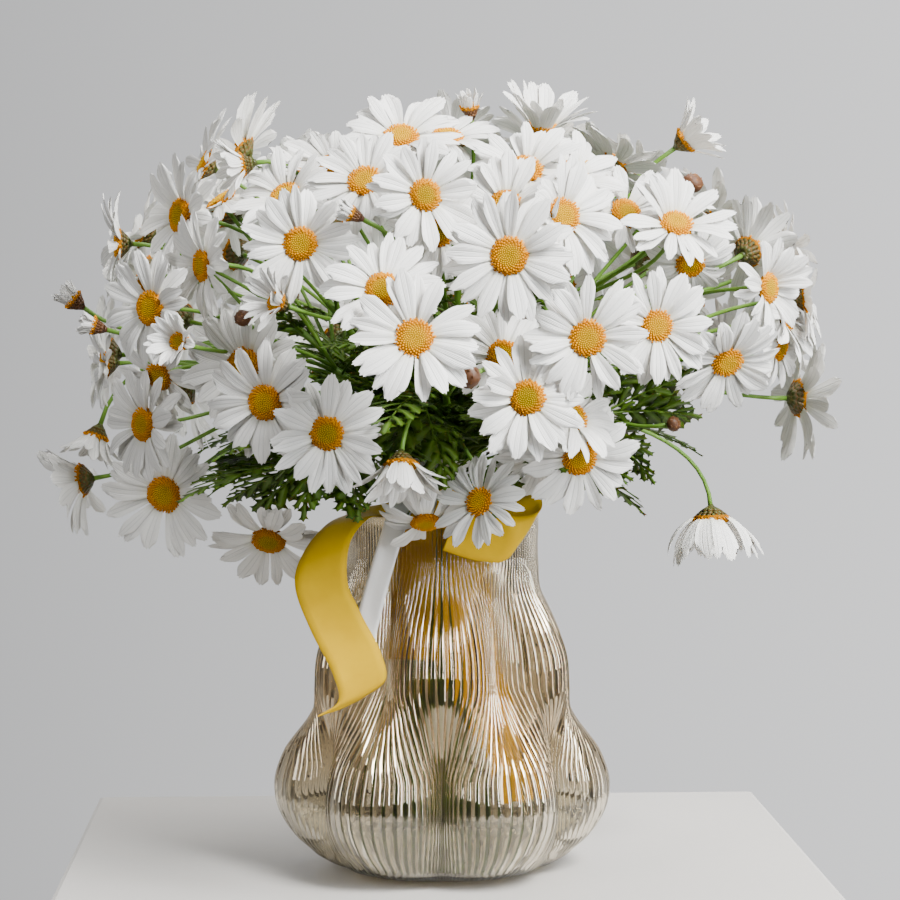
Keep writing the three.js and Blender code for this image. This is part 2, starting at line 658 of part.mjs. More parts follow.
// A flat band through stations [x, y, z, across x, across y, across z]: its middle line, and the way its
// width lies.
function band(stations, width) {
  const steps = 2 * (stations.length - 1);
  const places = stations.map((s) => V(s[0], s[1], s[2]));
  const ways = stations.map((s) => V(s[3], s[4], s[5]));
  const middle = new THREE.CatmullRomCurve3(places, false, 'centripetal');
  const across = new THREE.CatmullRomCurve3(ways, false, 'catmullrom');
  const points = [];
  const faces = [];
  for (let k = 0; k <= steps; k++) {
    const side = across.getPoint(k / steps).normalize();
    const out = middle.getTangent(k / steps).cross(side).normalize();
    const at = middle.getPoint(k / steps);
    for (const [w, t] of [[1, 1], [-1, 1], [-1, -1], [1, -1]]) {
      const edge = at.clone().addScaledVector(side, (w * width) / 2);
      points.push(edge.addScaledVector(out, (t * RIBBON_THICKNESS) / 2));
    }
    if (!k) continue;
    for (let c = 0; c < 4; c++) {
      const [a, b] = [4 * k + c, 4 * k + ((c + 1) % 4)];
      const underside = c === 2; // split along the same line as the upper side
      if (underside) faces.push([a - 4, b - 4, a], [b - 4, b, a]);
      else faces.push([a - 4, b, a], [a - 4, b - 4, b]);
    }
  }
  const last = 4 * steps;
  faces.push([0, 2, 1], [0, 3, 2], [last, last + 1, last + 2], [last, last + 2, last + 3]);
  const solid = solidOf(geometryFrom(points, faces));
  if (solid.volume() > 0) return solid;
  return solidOf(geometryFrom(points, faces.map(([a, b, c]) => [a, c, b])));
}

// The turn of a ribbon round the stems.
function wrap(radius, z, width) {
  const ring = new THREE.LatheGeometry([
    [radius, z - width / 2], [radius + RIBBON_THICKNESS, z - width / 2],
    [radius + RIBBON_THICKNESS, z + width / 2], [radius, z + width / 2], [radius, z - width / 2],
  ].map(([r, h]) => new THREE.Vector2(r, h)), 18);
  return solidOf(ring.rotateX(Math.PI / 2));
}

const YELLOW_TAILS = [
  // Out over the rim at the left, down in front of the vase and curled back.
  [[-14.7, -14.7, 186, 0, 0, 1], [-21, -21, 186, 0.4, -0.4, 0.8], [-28, -28, 184.5, 0.7, -0.7, 0.1],
    [-34.5, -34.5, 181.2, 0.7, -0.7, 0],
    [-45, -47, 178.5, 0.8, -0.55, 0.15], [-55, -60, 166, 0.9, -0.3, 0.25], [-57, -70, 150, 0.95, 0, 0.1],
    [-50, -76, 133, 0.93, 0.1, 0.3], [-40, -76, 113, 0.9, 0.2, 0.4], [-38, -70, 99, 0.85, 0.3, 0.35],
    [-49, -67, 90, 0.7, 0.5, 0.2]],
  // Down inside the glass, along its front: a long end and a short one.
  [[11.5, -17.2, 184, 0.83, 0.55, 0], [12, -28, 178, 0.93, 0.3, 0], [13, -36, 166, 0.94, 0.33, 0],
    [13, -38, 148, 0.94, 0.33, 0], [14, -40, 126, 0.94, 0.33, 0], [17, -42, 106, 0.95, 0.3, 0],
    [26, -43, 86, 0.85, 0.45, 0.2], [36, -48, 62, 0.78, 0.6, 0.1], [39, -50, 42, 0.78, 0.62, 0]],
  [[-11.5, -17.2, 184, 0.83, -0.55, 0], [-12, -28, 177, 0.93, -0.3, 0], [-13, -36, 164, 0.94, -0.33, 0],
    [-13, -38, 146, 0.94, -0.33, 0], [-14, -40, 126, 0.94, -0.33, 0], [-15, -42, 110, 0.94, -0.33, 0]],
  // Over the rim at the right, and folded back to the front of the neck.
  [[18, -10.3, 186, 0, 0, 1], [25, -17, 187, 0.35, 0.42, 0.8], [32, -26, 187, 0.68, 0.62, 0.25],
    [38, -35, 185, 0.62, 0.55, 0.45], [41.5, -42, 179, 0.56, 0.42, 0.68], [41, -49, 173, 0.52, 0.3, 0.78],
    [34, -54.5, 170, 0.46, 0.15, 0.87], [24, -56, 171, 0.4, 0.05, 0.9], [14, -56, 173.5, 0.35, 0, 0.93],
    [5, -55, 176.5, 0.35, 0, 0.93]],
];

const WHITE_TAILS = [
  [[-7, -19.5, 202, 0.94, -0.34, 0], [-11, -29, 199, 0.94, -0.34, 0], [-16, -41, 190, 0.93, -0.37, 0],
    [-20, -50, 183, 0.93, -0.37, 0], [-24, -53.5, 171, 0.95, -0.3, 0.1],
    [-31, -56, 148, 0.95, -0.1, 0.15], [-36, -58, 128, 0.95, 0.1, 0.2], [-40, -60, 112, 0.95, 0.2, 0.2]],
];

// ---- the whole bunch ----------------------------------------------------------------------------

const bunch = new THREE.Group();
function add(name, solid, colour) {
  const material = new THREE.MeshStandardMaterial(COLOURS[colour]);
  const mesh = new THREE.Mesh(geometryOf(mainBody(solid)), material);
  mesh.name = name;
  bunch.add(mesh);
}

const glass = place('vase', vase());
add('vase', glass, 'glass');

const two = (i) => String(i + 1).padStart(2, '0');
const behind = backHeads();
const sprays = [
  ...SPRAYS.map((rows) => rows.map(fromFront)),
  ...Array.from({ length: BACK.heads / BACK.on_a_stem }, () => behind.splice(0, BACK.on_a_stem)),
].map((heads, i) => ({ name: `flower_stem_${two(i)}`, heads, fork: forkOf(heads) }));

const slots = assignSlots([...sprays.map((s) => s.fork), ...LEAFY.map((tip) => V(...tip))]);

const yellow = place('yellow_ribbon', union([
  wrap(TIE_RADIUS, TIE_Z, 16), ...YELLOW_TAILS.map((tail) => band(tail, YELLOW_WIDTH)),
]));
add('yellow_ribbon', yellow, 'yellow_satin');
const white = place('white_ribbon', union([
  wrap(TIE_RADIUS, WHITE_TIE_Z, 7), ...WHITE_TAILS.map((tail) => band(tail, WHITE_WIDTH)),
]));
add('white_ribbon', white, 'white_satin');

// Main stems first, then the hearts of the heads and their stalks, then petals, then leaves, each clear
// of the last.
sprays.forEach((s, i) => {
  const paths = sways.map((sway) => stemPath(slots[i], s.fork.clone().add(sway)));
  s.path = clearWay(s.name, paths, STEM_RADIUS, STEM_SIDES, STEM_STATIONS);
  s.parts = [bar(s.path, STEM_RADIUS, STEM_SIDES, STEM_STATIONS)];
});
const leafies = LEAFY.map((tip, i) => {
  const name = `leafy_stem_${two(i)}`;
  const paths = sways.map((sway) => stemPath(slots[sprays.length + i], V(...tip).add(sway)));
  const path = clearWay(name, paths, LEAFY_RADIUS, STEM_SIDES, STEM_STATIONS);
  return { name, path, parts: [bar(path, LEAFY_RADIUS, STEM_SIDES, STEM_STATIONS)] };
});
sprays.forEach((s) => s.heads.forEach((head, k) => place(`${s.name}/${k}`, heartProbe(head))));
sprays.forEach((s) => s.heads.forEach((head, k) => {
  const from = s.path.getPoint(0.98 - FORK_STEP * k);
  const curves = sways.map((sway) => stalkCurve(from, head, sway));
  head.stalk = clearWay(`${s.name}/${k}`, curves, STALK_RADIUS, 3, STALK_STATIONS, s.name);
}));
sprays.forEach((s) => {
  s.heads.forEach((head, k) => {
    if (head.kind === 'bud') s.parts.push(budSolid(head, head.stalk));
    else s.parts.push(headSolid(head, blades(head, `${s.name}/${k}`), head.stalk));
  });
});
leafies.forEach((l) => addLeaves(l));
leafies.forEach((l) => add(l.name, union(l.parts), 'leaves'));
sprays.forEach((s) => add(s.name, union(s.parts), 'petals'));

const wetStems = placed.filter(({ owner, box }) => owner !== 'vase' && box.min[2] < WATER_LEVEL);
add('water', water().subtract(union(wetStems.map(({ solid }) => solid))), 'water');

export default bunch;
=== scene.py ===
# A bunch of marguerite daisies in a ribbed, lobed glass vase: the looks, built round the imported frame.
# Places and sizes are written in millimetres and become metres where a mesh is made.
# +Z is up, and -Y is the front.
import math

import bpy
import numpy as np
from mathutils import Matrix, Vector


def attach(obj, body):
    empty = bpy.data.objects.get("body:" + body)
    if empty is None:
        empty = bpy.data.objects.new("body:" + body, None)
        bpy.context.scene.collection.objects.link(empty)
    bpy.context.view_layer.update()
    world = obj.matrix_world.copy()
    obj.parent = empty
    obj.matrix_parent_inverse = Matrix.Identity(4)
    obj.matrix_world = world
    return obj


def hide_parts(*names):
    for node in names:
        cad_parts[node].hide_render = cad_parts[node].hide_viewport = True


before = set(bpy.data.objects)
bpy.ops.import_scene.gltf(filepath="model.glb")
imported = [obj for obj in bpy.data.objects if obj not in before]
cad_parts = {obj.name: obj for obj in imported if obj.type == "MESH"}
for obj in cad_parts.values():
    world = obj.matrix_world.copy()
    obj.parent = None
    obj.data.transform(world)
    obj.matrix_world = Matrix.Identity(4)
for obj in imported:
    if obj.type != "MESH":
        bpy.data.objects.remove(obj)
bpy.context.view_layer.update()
MM = 0.001

# ---- camera and stage ----

EYE = {"x": 4, "distance": 1250, "height": 277}  # the camera, and where the front view was read from
IMAGE_MIDDLE, HORIZON_ROW, FOCAL_PIXELS = 450, 316, 2500
LOOK_DOWN = math.degrees(math.atan((IMAGE_MIDDLE - HORIZON_ROW) / FOCAL_PIXELS))
LENS = 100  # mm, on a sensor of 36 mm

PLINTH = {"width": 380, "near": -230, "far": 190, "deep": 420, "turn": 2.7, "round": 3}

# ---- sizes shared with the construction ----

VASE_HEIGHT = 180
GLASS = 3
FLOOR = 5
BODY = [[0, 40], [3, 52], [12, 65], [26, 73.5], [42, 75.4], [58, 72], [76, 65.5], [94, 62.7], [112, 60.5],
        [128, 55.3], [142, 49.8], [158, 47.8], [180, 48.4]]  # height and radius, before the lobes
LOBES = 6
WATER_LEVEL = 34
WATER_GAP = 0.6  # to the glass

TIE_Z = 186
WHITE_TIE_Z = TIE_Z + 17
TIE_RADIUS = 20.9
TIE_REACH = 22
STEM_SPLAY = 1.25
STEM_END_Z = 9
STEM_CORNER, STALK_CORNER, LEAFY_CORNER = 2.1, 1.05, 1.6  # radii of the construction's bars at their corners
FIRST_FORK, FORK_STEP = 0.98, 0.035  # where stalks leave a stem, as shares of its length
CALYX_DEPTH = 6  # of an open head
DISC_SHARE = 0.14
BRUSH_SHARE = 0.2
TIP_SHARE = 0.72

DOME = {"x": 185, "y": 150, "z": 120, "centre": 275}

# Petals and rise in the construction, petals and arch here, and the share of the full petal's width.
KINDS = {
    "flat": {"blades": 8, "rise": 6, "petals": 20, "arch": 15, "broad": 1.0},
    "back": {"blades": 6, "rise": 8, "petals": 19, "arch": 15, "broad": 1.0},
    "cupped": {"blades": 8, "rise": 46, "petals": 17, "arch": 16, "broad": 0.9},
    "bell": {"blades": 8, "rise": 55, "petals": 18, "arch": -26, "broad": 1.0},
    "reflexed": {"blades": 8, "rise": -28, "petals": 19, "arch": 20, "broad": 1.0},
    "brush": {"blades": 5, "rise": 78, "petals": 13, "arch": 6, "broad": 0.8},
}

# Heads seen from the front, a list for each flowering stem: [across, up, sink, turn, lift, width], then
# the kind where it isn't flat, and how ripe the disc is, from 0 to 1, where that was seen.
SPRAYS = [
    [[-118, 352, 40, -75, 25, 60], [-99, 352, 15, -82, -12, 42, "cupped"],
     [-130, 327, 20, -52, 4, 62, 0.7]],
    [[-161, 313, 20, -80, 0, 58], [-145, 281, 0, -38, 0, 62, 0.4], [-184, 285, 0, -78, 38, 28, "brush"],
     [-174, 272, 0, -76, 16, 23, "brush"]],
    [[-168, 253, 30, -75, -4, 50], [-149, 223, 10, -45, 0, 60, 0.5],
     [-173, 217, 15, -60, -70, 44, "cupped"]],
    [[-180, 195, 20, -104, -8, 58], [-139, 188, 0, -18, -12, 66, 0.6],
     [-141, 247, 36, -30, -20, 52, 0.4]],
    [[-119, 302, 10, -55, -5, 56], [-131, 264, -12, -30, 12, 38, "cupped", 0.7],
     [-98, 252, 34, -20, 0, 66, 0.6], [-99, 276, 25, -20, 25, 9, "bud"]],
    [[-88, 234, 0, -24, -4, 64, 0.4], [-57, 218, -8, -2, 4, 62, 0.85], [-87, 165, 20, -10, -42, 62, 0.9]],
    [[-70, 313, 5, -4, 2, 60, 0.45], [-82, 284, 0, -48, 18, 42, "cupped", 0.7],
     [-78, 337, 38, -30, 40, 56], [-45, 328, -10, -75, 24, 21, "brush"]],
    [[-38, 344, 2, -8, 30, 60, 0.15], [-20, 366, 14, 0, 46, 62, 0.1], [-55, 352, 40, -20, 50, 56]],
    [[3, 366, 34, 8, 58, 54], [14, 381, 24, -20, 68, 25, "brush"], [6, 366, 80, 170, 34, 50],
     [50, 371, 30, 28, 66, 60, "cupped"]],
    [[-8, 337, -12, 18, 5, 58, 0.65], [-1, 318, 12, 0, 12, 52, 0.8], [32, 332, 14, -6, 24, 58, 0.5]],
    [[-29, 290, -22, 0, 24, 64, 0.55], [-13, 266, -34, 0, 12, 70, 0.1], [31, 257, 14, 0, 22, 58, 0.5],
     [14, 247, -24, -30, -10, 13, "bud"]],
    [[34, 307, -22, 0, 0, 68, 0.3], [61, 327, -2, 26, 12, 64, 0.15], [42, 350, 14, 4, 42, 62, 0.2],
     [41, 280, -4, 10, -20, 10, "bud"]],
    [[66, 347, 22, 36, 36, 58], [86, 352, 52, 120, 50, 58], [92, 328, 24, 22, 26, 56],
     [121, 364, 20, 74, 34, 48, "cupped"]],
    [[117, 323, -8, 14, 44, 62, 0.1], [113, 336, -4, 0, 52, 30, "brush"],
     [125, 343, 10, 40, 60, 11, "bud"], [124, 303, 20, 4, -34, 50, "reflexed"]],
    [[153, 309, 5, 142, 18, 58], [172, 311, 40, 100, 20, 50], [163, 291, -18, 50, 0, 54, 0.4]],
    [[73, 266, -16, 5, 0, 66, 0.25], [108, 272, -10, 12, 0, 60, 0.0], [143, 254, -12, 20, -32, 58, 0.1],
     [145, 268, 10, 30, 30, 8, "bud"]],
    [[181, 286, 10, 82, 4, 52], [172, 277, 30, 62, 10, 52], [178, 236, 0, 112, 0, 66],
     [169, 261, 34, 60, -14, 46]],
    [[43, 236, -18, 0, 8, 64, 0.9], [66, 227, 12, 40, 34, 56, 0.3], [69, 206, 10, 12, -18, 62, 0.3],
     [52, 207, 26, -4, -34, 52, 0.4]],
    [[135, 176, 0, 20, -84, 68, "bell"], [116, 223, 30, 60, 10, 8, "bud"]],
    [[19, 184, 6, -34, 18, 52, 0.1], [-8, 174, 8, 6, -56, 52, "reflexed", 0.5],
     [-20, 203, -6, 4, -72, 60, "cupped"]],
    [[-166, 258, 96, -98, 4, 60], [-148, 318, 84, -90, 30, 60], [-110, 334, 88, -66, 52, 60],
     [-68, 350, 116, -40, 70, 60]],
    [[174, 256, 92, 98, 0, 60], [158, 300, 72, 92, 24, 56], [112, 338, 92, 70, 52, 60],
     [68, 352, 116, 40, 70, 60]],
]
BEHIND_SINK = 15  # a flat head set back further than this is of the plainer kind
BACK = {"heads": 30, "on_a_stem": 5, "from": 106, "to": 254, "lowest": -24, "highest": 62, "size": 0.92,
        "sunk": 0.12, "width": 66, "width_spread": 8, "way_spread": 24}

# Tips of the leafy stems.
LEAFY = [(-68, -62, 206), (-50, -84, 230), (-10, -84, 240), (44, -76, 216), (76, -58, 230),
         (76, 66, 222), (0, 84, 230), (-76, 64, 222)]

# Ribbon ends: stations [x, y, z, across x, across y, across z].
YELLOW_TAILS = [
    [[-14.7, -14.7, 186, 0, 0, 1], [-21, -21, 186, 0.4, -0.4, 0.8], [-28, -28, 184.5, 0.7, -0.7, 0.1],
     [-34.5, -34.5, 181.2, 0.7, -0.7, 0], [-45, -47, 178.5, 0.8, -0.55, 0.15],
     [-55, -60, 166, 0.9, -0.3, 0.25], [-57, -70, 150, 0.95, 0, 0.1], [-50, -76, 133, 0.93, 0.1, 0.3],
     [-40, -76, 113, 0.9, 0.2, 0.4], [-38, -70, 99, 0.85, 0.3, 0.35], [-49, -67, 90, 0.7, 0.5, 0.2]],
    [[11.5, -17.2, 184, 0.83, 0.55, 0], [12, -28, 178, 0.93, 0.3, 0], [13, -36, 166, 0.94, 0.33, 0],
     [13, -38, 148, 0.94, 0.33, 0], [14, -40, 126, 0.94, 0.33, 0], [17, -42, 106, 0.95, 0.3, 0],
     [26, -43, 86, 0.85, 0.45, 0.2], [36, -48, 62, 0.78, 0.6, 0.1], [39, -50, 42, 0.78, 0.62, 0]],
    [[-11.5, -17.2, 184, 0.83, -0.55, 0], [-12, -28, 177, 0.93, -0.3, 0], [-13, -36, 164, 0.94, -0.33, 0],
     [-13, -38, 146, 0.94, -0.33, 0], [-14, -40, 126, 0.94, -0.33, 0], [-15, -42, 110, 0.94, -0.33, 0]],
    [[18, -10.3, 186, 0, 0, 1], [25, -17, 187, 0.35, 0.42, 0.8], [32, -26, 187, 0.68, 0.62, 0.25],
     [38, -35, 185, 0.62, 0.55, 0.45], [41.5, -42, 179, 0.56, 0.42, 0.68],
     [41, -49, 173, 0.52, 0.3, 0.78], [34, -54.5, 170, 0.46, 0.15, 0.87], [24, -56, 171, 0.4, 0.05, 0.9],
     [14, -56, 173.5, 0.35, 0, 0.93], [5, -55, 176.5, 0.35, 0, 0.93]],
]
WHITE_TAILS = [
    [[-7, -19.5, 202, 0.94, -0.34, 0], [-11, -29, 199, 0.94, -0.34, 0], [-16, -41, 190, 0.93, -0.37, 0],
     [-20, -50, 183, 0.93, -0.37, 0], [-24, -53.5, 171, 0.95, -0.3, 0.1], [-31, -56, 148, 0.95, -0.1, 0.15],
     [-36, -58, 128, 0.95, 0.1, 0.2], [-40, -60, 112, 0.95, 0.2, 0.2]],
]

# ---- small tools ----


def spread(i, k):
    """A repeatable number from -0.5 to 0.5 for item i, aspect k."""
    s = math.sin(i * 12.9898 + k * 78.233) * 43758.5453
    return s - math.floor(s) - 0.5


def lerp(a, b, t):
    return a + (b - a) * t


def link(made):
    bpy.context.scene.collection.objects.link(made)
    return made


def unit(v):
    return v / np.linalg.norm(v)


def facing(turn, lift):
    t, u = math.radians(turn), math.radians(lift)
    return np.array([math.sin(t) * math.cos(u), -math.cos(t) * math.cos(u), math.sin(u)])


class Pile:
    """One piece in the making: vertices in millimetres, faces, and named values that its material reads."""

    def __init__(self, *names):
        self.points = []
        self.faces = []
        self.values = {name: [] for name in names}
        self.rims = []
        self.count = 0

    def add(self, points, faces, rim=None, **values):
        """faces is a list of arrays, each of triangles or of quads; rim marks the ends of sharp edges."""
        n = len(points)
        self.points.append(points)
        self.faces += [np.asarray(f) + self.count for f in faces if len(f)]
        for name, kept in self.values.items():
            kept.append(np.broadcast_to(values.get(name, 0.0), n))
        self.rims.append(np.zeros(n, bool) if rim is None else rim)
        self.count += n

    def piece(self, name, material, slot, *nodes):
        mesh = bpy.data.meshes.new(name)
        points = np.concatenate(self.points) * MM
        corners = np.concatenate([f.ravel() for f in self.faces])
        sizes = np.concatenate([np.full(len(f), f.shape[1]) for f in self.faces])
        mesh.vertices.add(len(points))
        mesh.vertices.foreach_set("co", points.astype(np.float32).ravel())
        mesh.loops.add(len(corners))
        mesh.loops.foreach_set("vertex_index", corners.astype(np.int32))
        mesh.polygons.add(len(sizes))
        mesh.polygons.foreach_set("loop_start", (np.cumsum(sizes) - sizes).astype(np.int32))
        mesh.update(calc_edges=True)
        mesh.shade_smooth()
        for value, kept in self.values.items():
            attribute = mesh.attributes.new(value, "FLOAT", "POINT")
            attribute.data.foreach_set("value", np.concatenate(kept).astype(np.float32))
        self.sharpen(mesh)
        mesh.materials.append(material)
        made = link(bpy.data.objects.new(name, mesh))
        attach(made, "root")
        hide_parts(*nodes)
        return made

    def sharpen(self, mesh):
        rims = np.concatenate(self.rims)
        if not rims.any():
            return
        ends = np.zeros(2 * len(mesh.edges), np.int32)
        mesh.edges.foreach_get("vertices", ends)
        sharp = rims[ends.reshape(-1, 2)].all(1)
        attribute = mesh.attributes.new("sharp_edge", "BOOLEAN", "EDGE")
        attribute.data.foreach_set("value", sharp)


def ring_faces(rings, sides):
    """Quads between rings of points, each ring with so many sides."""
    k = np.arange(sides)
    n = (k + 1) % sides
    first = np.stack([k, n, sides + n, sides + k], 1)
    return np.concatenate([first + r * sides for r in range(rings - 1)])


def circle(radius, z, sides):
    a = 2 * np.pi * np.arange(sides) / sides
    return np.stack([radius * np.cos(a), radius * np.sin(a), np.full(sides, z)], 1)


def capped(rings, first, last):
    """Points and faces of a closed skin: rings from foot to head, and a point in the middle of each end."""
    n, sides = len(rings), len(rings[0])
    k = np.arange(sides)
    k2 = (k + 1) % sides
    foot = np.stack([k2, k, np.full(sides, n * sides)], 1)
    head = np.stack([(n - 1) * sides + k, (n - 1) * sides + k2, np.full(sides, n * sides + 1)], 1)
    return np.concatenate([*rings, [first, last]]), [ring_faces(n, sides), foot, head]


def catmull(points, t, centripetal=True):
    """A point of a Catmull-Rom curve through points, t from 0 to 1."""
    last = len(points) - 1
    k = min(int(t * last), last - 1)
    w = t * last - k
    p1, p2 = points[k], points[k + 1]
    p0 = points[k - 1] if k else 2 * points[0] - points[1]
    p3 = points[k + 2] if k + 2 <= last else 2 * points[-1] - points[-2]
    if centripetal:
        d0, d1, d2 = (max(np.linalg.norm(b - a) ** 0.5, 1e-9) for a, b in ((p0, p1), (p1, p2), (p2, p3)))
        m1 = ((p1 - p0) / d0 - (p2 - p0) / (d0 + d1) + (p2 - p1) / d1) * d1
        m2 = ((p2 - p1) / d1 - (p3 - p1) / (d1 + d2) + (p3 - p2) / d2) * d1
    else:
        m1, m2 = 0.5 * (p2 - p0), 0.5 * (p3 - p1)
    return p1 + w * m1 + w * w * (3 * (p2 - p1) - 2 * m1 - m2) + w ** 3 * (2 * (p1 - p2) + m1 + m2)


def bezier(points, t):
    a, b, c, d = points
    s = 1 - t
    return s ** 3 * a + 3 * s * s * t * b + 3 * s * t * t * c + t ** 3 * d


def tube(pile, points, radii, sides, **values):
    """A round bar along points, closed at both ends."""
    points = np.array(points)
    ways = np.gradient(points, axis=0)
    ways /= np.linalg.norm(ways, axis=1)[:, None]
    side = unit(np.cross(ways[0], [0.3, 0.9, 0.1]))
    turns = 2 * np.pi * np.arange(sides) / sides
    rings = []
    for at, way, radius in zip(points, ways, radii):
        side = unit(side - way * side.dot(way))
        other = np.cross(way, side)
        rings.append(at + radius * (np.cos(turns)[:, None] * side + np.sin(turns)[:, None] * other))
    pile.add(*capped(rings, points[0], points[-1]), **values)


# ---- reading the frame ----

SWAY_SIZES = (5, 11, 18, 27, 38)  # how far a stem may have been bent aside to keep clear of the others
SWAY_TURNS = 8
RADIUS_SLACK = 0.02
PATH_STATIONS = (0.6, 0.7, 0.8, 0.9, 1)  # shares of a CAD stem's length where it has a ring of corners
STEM_KNEE = {"splay": 1.05, "z": 110}
STALK_ENDS = {"leave": 0.3, "lift": 0.12, "arrive": 0.4}  # of a stalk's curve, as shares of its reach
BUD_BACK = 0.4  # from a bud's middle to its stalk's end, as a share of the bud's width
PETAL_LENGTHS = (1, 0.8, 0.6, 0.4, 0.25)  # shares to which a CAD petal may have been cut
PETAL_ROOM = 0.84  # share of its sector that a CAD petal fills
TIP_SLACK = 0.004


def all_sways():
    found = [np.zeros(3)]
    for size in SWAY_SIZES:
        for k in range(SWAY_TURNS):
            turn = 2 * math.pi * k / SWAY_TURNS
            c, s = size * math.cos(turn), size * math.sin(turn)
            found += [np.array([c, s, 0]), np.array([0, c, s])]
    return found


SWAYS = all_sways()


def corners_of(node):
    """The CAD node's vertices, in millimetres."""
    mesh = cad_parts[node].data
    co = np.zeros(3 * len(mesh.vertices), np.float32)
    mesh.vertices.foreach_get("co", co)
    return np.unique(np.round(co.reshape(-1, 3) / MM, 3), axis=0)


def ringed(corners, centre, radius):
    """How many corners lie at that radius round centre."""
    return int((np.abs(np.linalg.norm(corners - centre, axis=1) - radius) < RADIUS_SLACK).sum())


def stem_points(slot, fork):
    """The stations of a stem that passes the tie at slot."""
    top = np.array([slot[0], slot[1], TIE_Z + TIE_REACH])
    return [
        np.array([slot[0] * STEM_SPLAY, slot[1] * STEM_SPLAY, STEM_END_Z]),
        np.array([slot[0] * STEM_KNEE["splay"], slot[1] * STEM_KNEE["splay"], STEM_KNEE["z"]]),
        np.array([slot[0], slot[1], TIE_Z - TIE_REACH]),
        top,
        (top + fork) / 2 + np.array([0, 0, 4]),
        fork,
    ]


def stem_path(corners, fork, radius):
    """The curve along which the CAD stem runs, told by the corners of its bar."""
    foot = corners[corners[:, 2] < corners[:, 2].min() + 3 * radius]
    foot = foot[np.argsort(foot[:, 2])][:3].mean(0)
    slot = foot[:2] / STEM_SPLAY
    paths = [stem_points(slot, fork + sway) for sway in SWAYS]
    scores = [sum(ringed(corners, catmull(path, t), radius) for t in PATH_STATIONS) for path in paths]
    return paths[int(np.argmax(scores))]


def stalk_path(corners, fork, head):
    """The curve along which the CAD stalk comes to its head."""
    back = BUD_BACK * head["width"] if head["kind"] == "bud" else CALYX_DEPTH - 1.5
    end = head["at"] - back * head["way"]
    reach = np.linalg.norm(end - fork)
    paths = []
    for sway in SWAYS:
        leave = lerp(fork, end, STALK_ENDS["leave"]) + np.array([0, 0, STALK_ENDS["lift"] * reach]) + sway
        arrive = end - STALK_ENDS["arrive"] * reach * head["way"] + sway
        paths.append((fork, leave, arrive, end))
    scores = [ringed(corners, bezier(path, 0.5), STALK_CORNER) for path in paths]
    return paths[int(np.argmax(scores))]


def from_front(row):
    """A head from its row of SPRAYS."""
    across, up, sink, turn, lift, width = row[:6]
    kind = next((v for v in row[6:] if isinstance(v, str)), "flat")
    ripe = next((v for v in row[6:] if not isinstance(v, str)), None)
    inside = 1 - (across / DOME["x"]) ** 2 - ((up - DOME["centre"]) / DOME["z"]) ** 2
    y = -DOME["y"] * math.sqrt(max(0, inside)) + sink
    nearer = (EYE["distance"] + y) / EYE["distance"]
    at = np.array([across * nearer, y, EYE["height"] + (up - EYE["height"]) * nearer])
    if kind == "flat" and sink > BEHIND_SINK:
        kind = "back"
    return {"at": at, "way": facing(turn, lift), "width": width * nearer, "kind": kind, "ripe": ripe}


def back_heads():
    """The heads of the back, in order of their turn."""
    golden = (math.sqrt(5) - 1) / 2
    heads = []
    for i in range(BACK["heads"]):
        turn = lerp(BACK["from"], BACK["to"], ((i + 0.5) * golden) % 1)
        low, high = (math.sin(math.radians(BACK[end])) for end in ("lowest", "highest"))
        lift = math.degrees(math.asin(lerp(low, high, (i + 0.5) / BACK["heads"])))
        out = BACK["size"] - BACK["sunk"] * (0.5 + spread(i, 3))
        at = facing(turn, lift) * [DOME["x"], DOME["y"], DOME["z"]] * out + [0, 0, DOME["centre"]]
        aside, upward = (BACK["way_spread"] * spread(i, k) for k in (4, 5))
        way = facing(turn + aside, lift * 0.8 + upward)
        width = BACK["width"] + BACK["width_spread"] * spread(i, 6)
        heads.append({"at": at, "way": way, "width": width, "kind": "back", "turn": turn, "ripe": None})
    return sorted(heads, key=lambda h: h["turn"])


def fork_of(heads):
    """Where a stem's stalks part: between the tie and the middle of its heads."""
    tie = np.array([0, 0, TIE_Z + TIE_REACH])
    middle = sum(h["at"] for h in heads) / len(heads)
    return (tie + middle) / 2 + np.array([0, 0, 10 + 0.35 * max(0, 250 - middle[2])])


def turn_to(way):
    """The turn that carries +Z to way, as rows of a matrix to multiply points by."""
    q = Vector((0, 0, 1)).rotation_difference(Vector(way))
    return np.array(q.to_matrix()).T


def disc_radius(head):
    return max(2.6, (BRUSH_SHARE if head["kind"] == "brush" else DISC_SHARE) * head["width"])


def blades_of(corners, head):
    """The rise and length of a head's CAD petals, read from their tip corners, or None for a lost one."""
    kind = KINDS[head["kind"]]
    n = kind["blades"]
    r = disc_radius(head)
    full = head["width"] / 2 - r
    local = (corners - head["at"]) @ turn_to(head["way"]).T
    around = np.arctan2(local[:, 1], local[:, 0])
    out = np.hypot(local[:, 0], local[:, 1]) - r
    length = np.hypot(out, local[:, 2])
    fits = np.any([np.abs(length / full - share) < TIP_SLACK for share in PETAL_LENGTHS], axis=0)
    half = TIP_SHARE * PETAL_ROOM * math.pi / n
    blades = []
    for i in range(n):
        angle = 2 * math.pi * (i + 0.5) / n
        found = []
        for tip in (angle - half, angle + half):
            near = fits & (np.abs((around - tip + math.pi) % (2 * math.pi) - math.pi) < TIP_SLACK)
            for j in np.flatnonzero(near):
                found.append((math.degrees(math.atan2(local[j, 2], out[j])), length[j] / full))
        blades.append(found[0] if found else None)
    return blades


# ---- petals ----

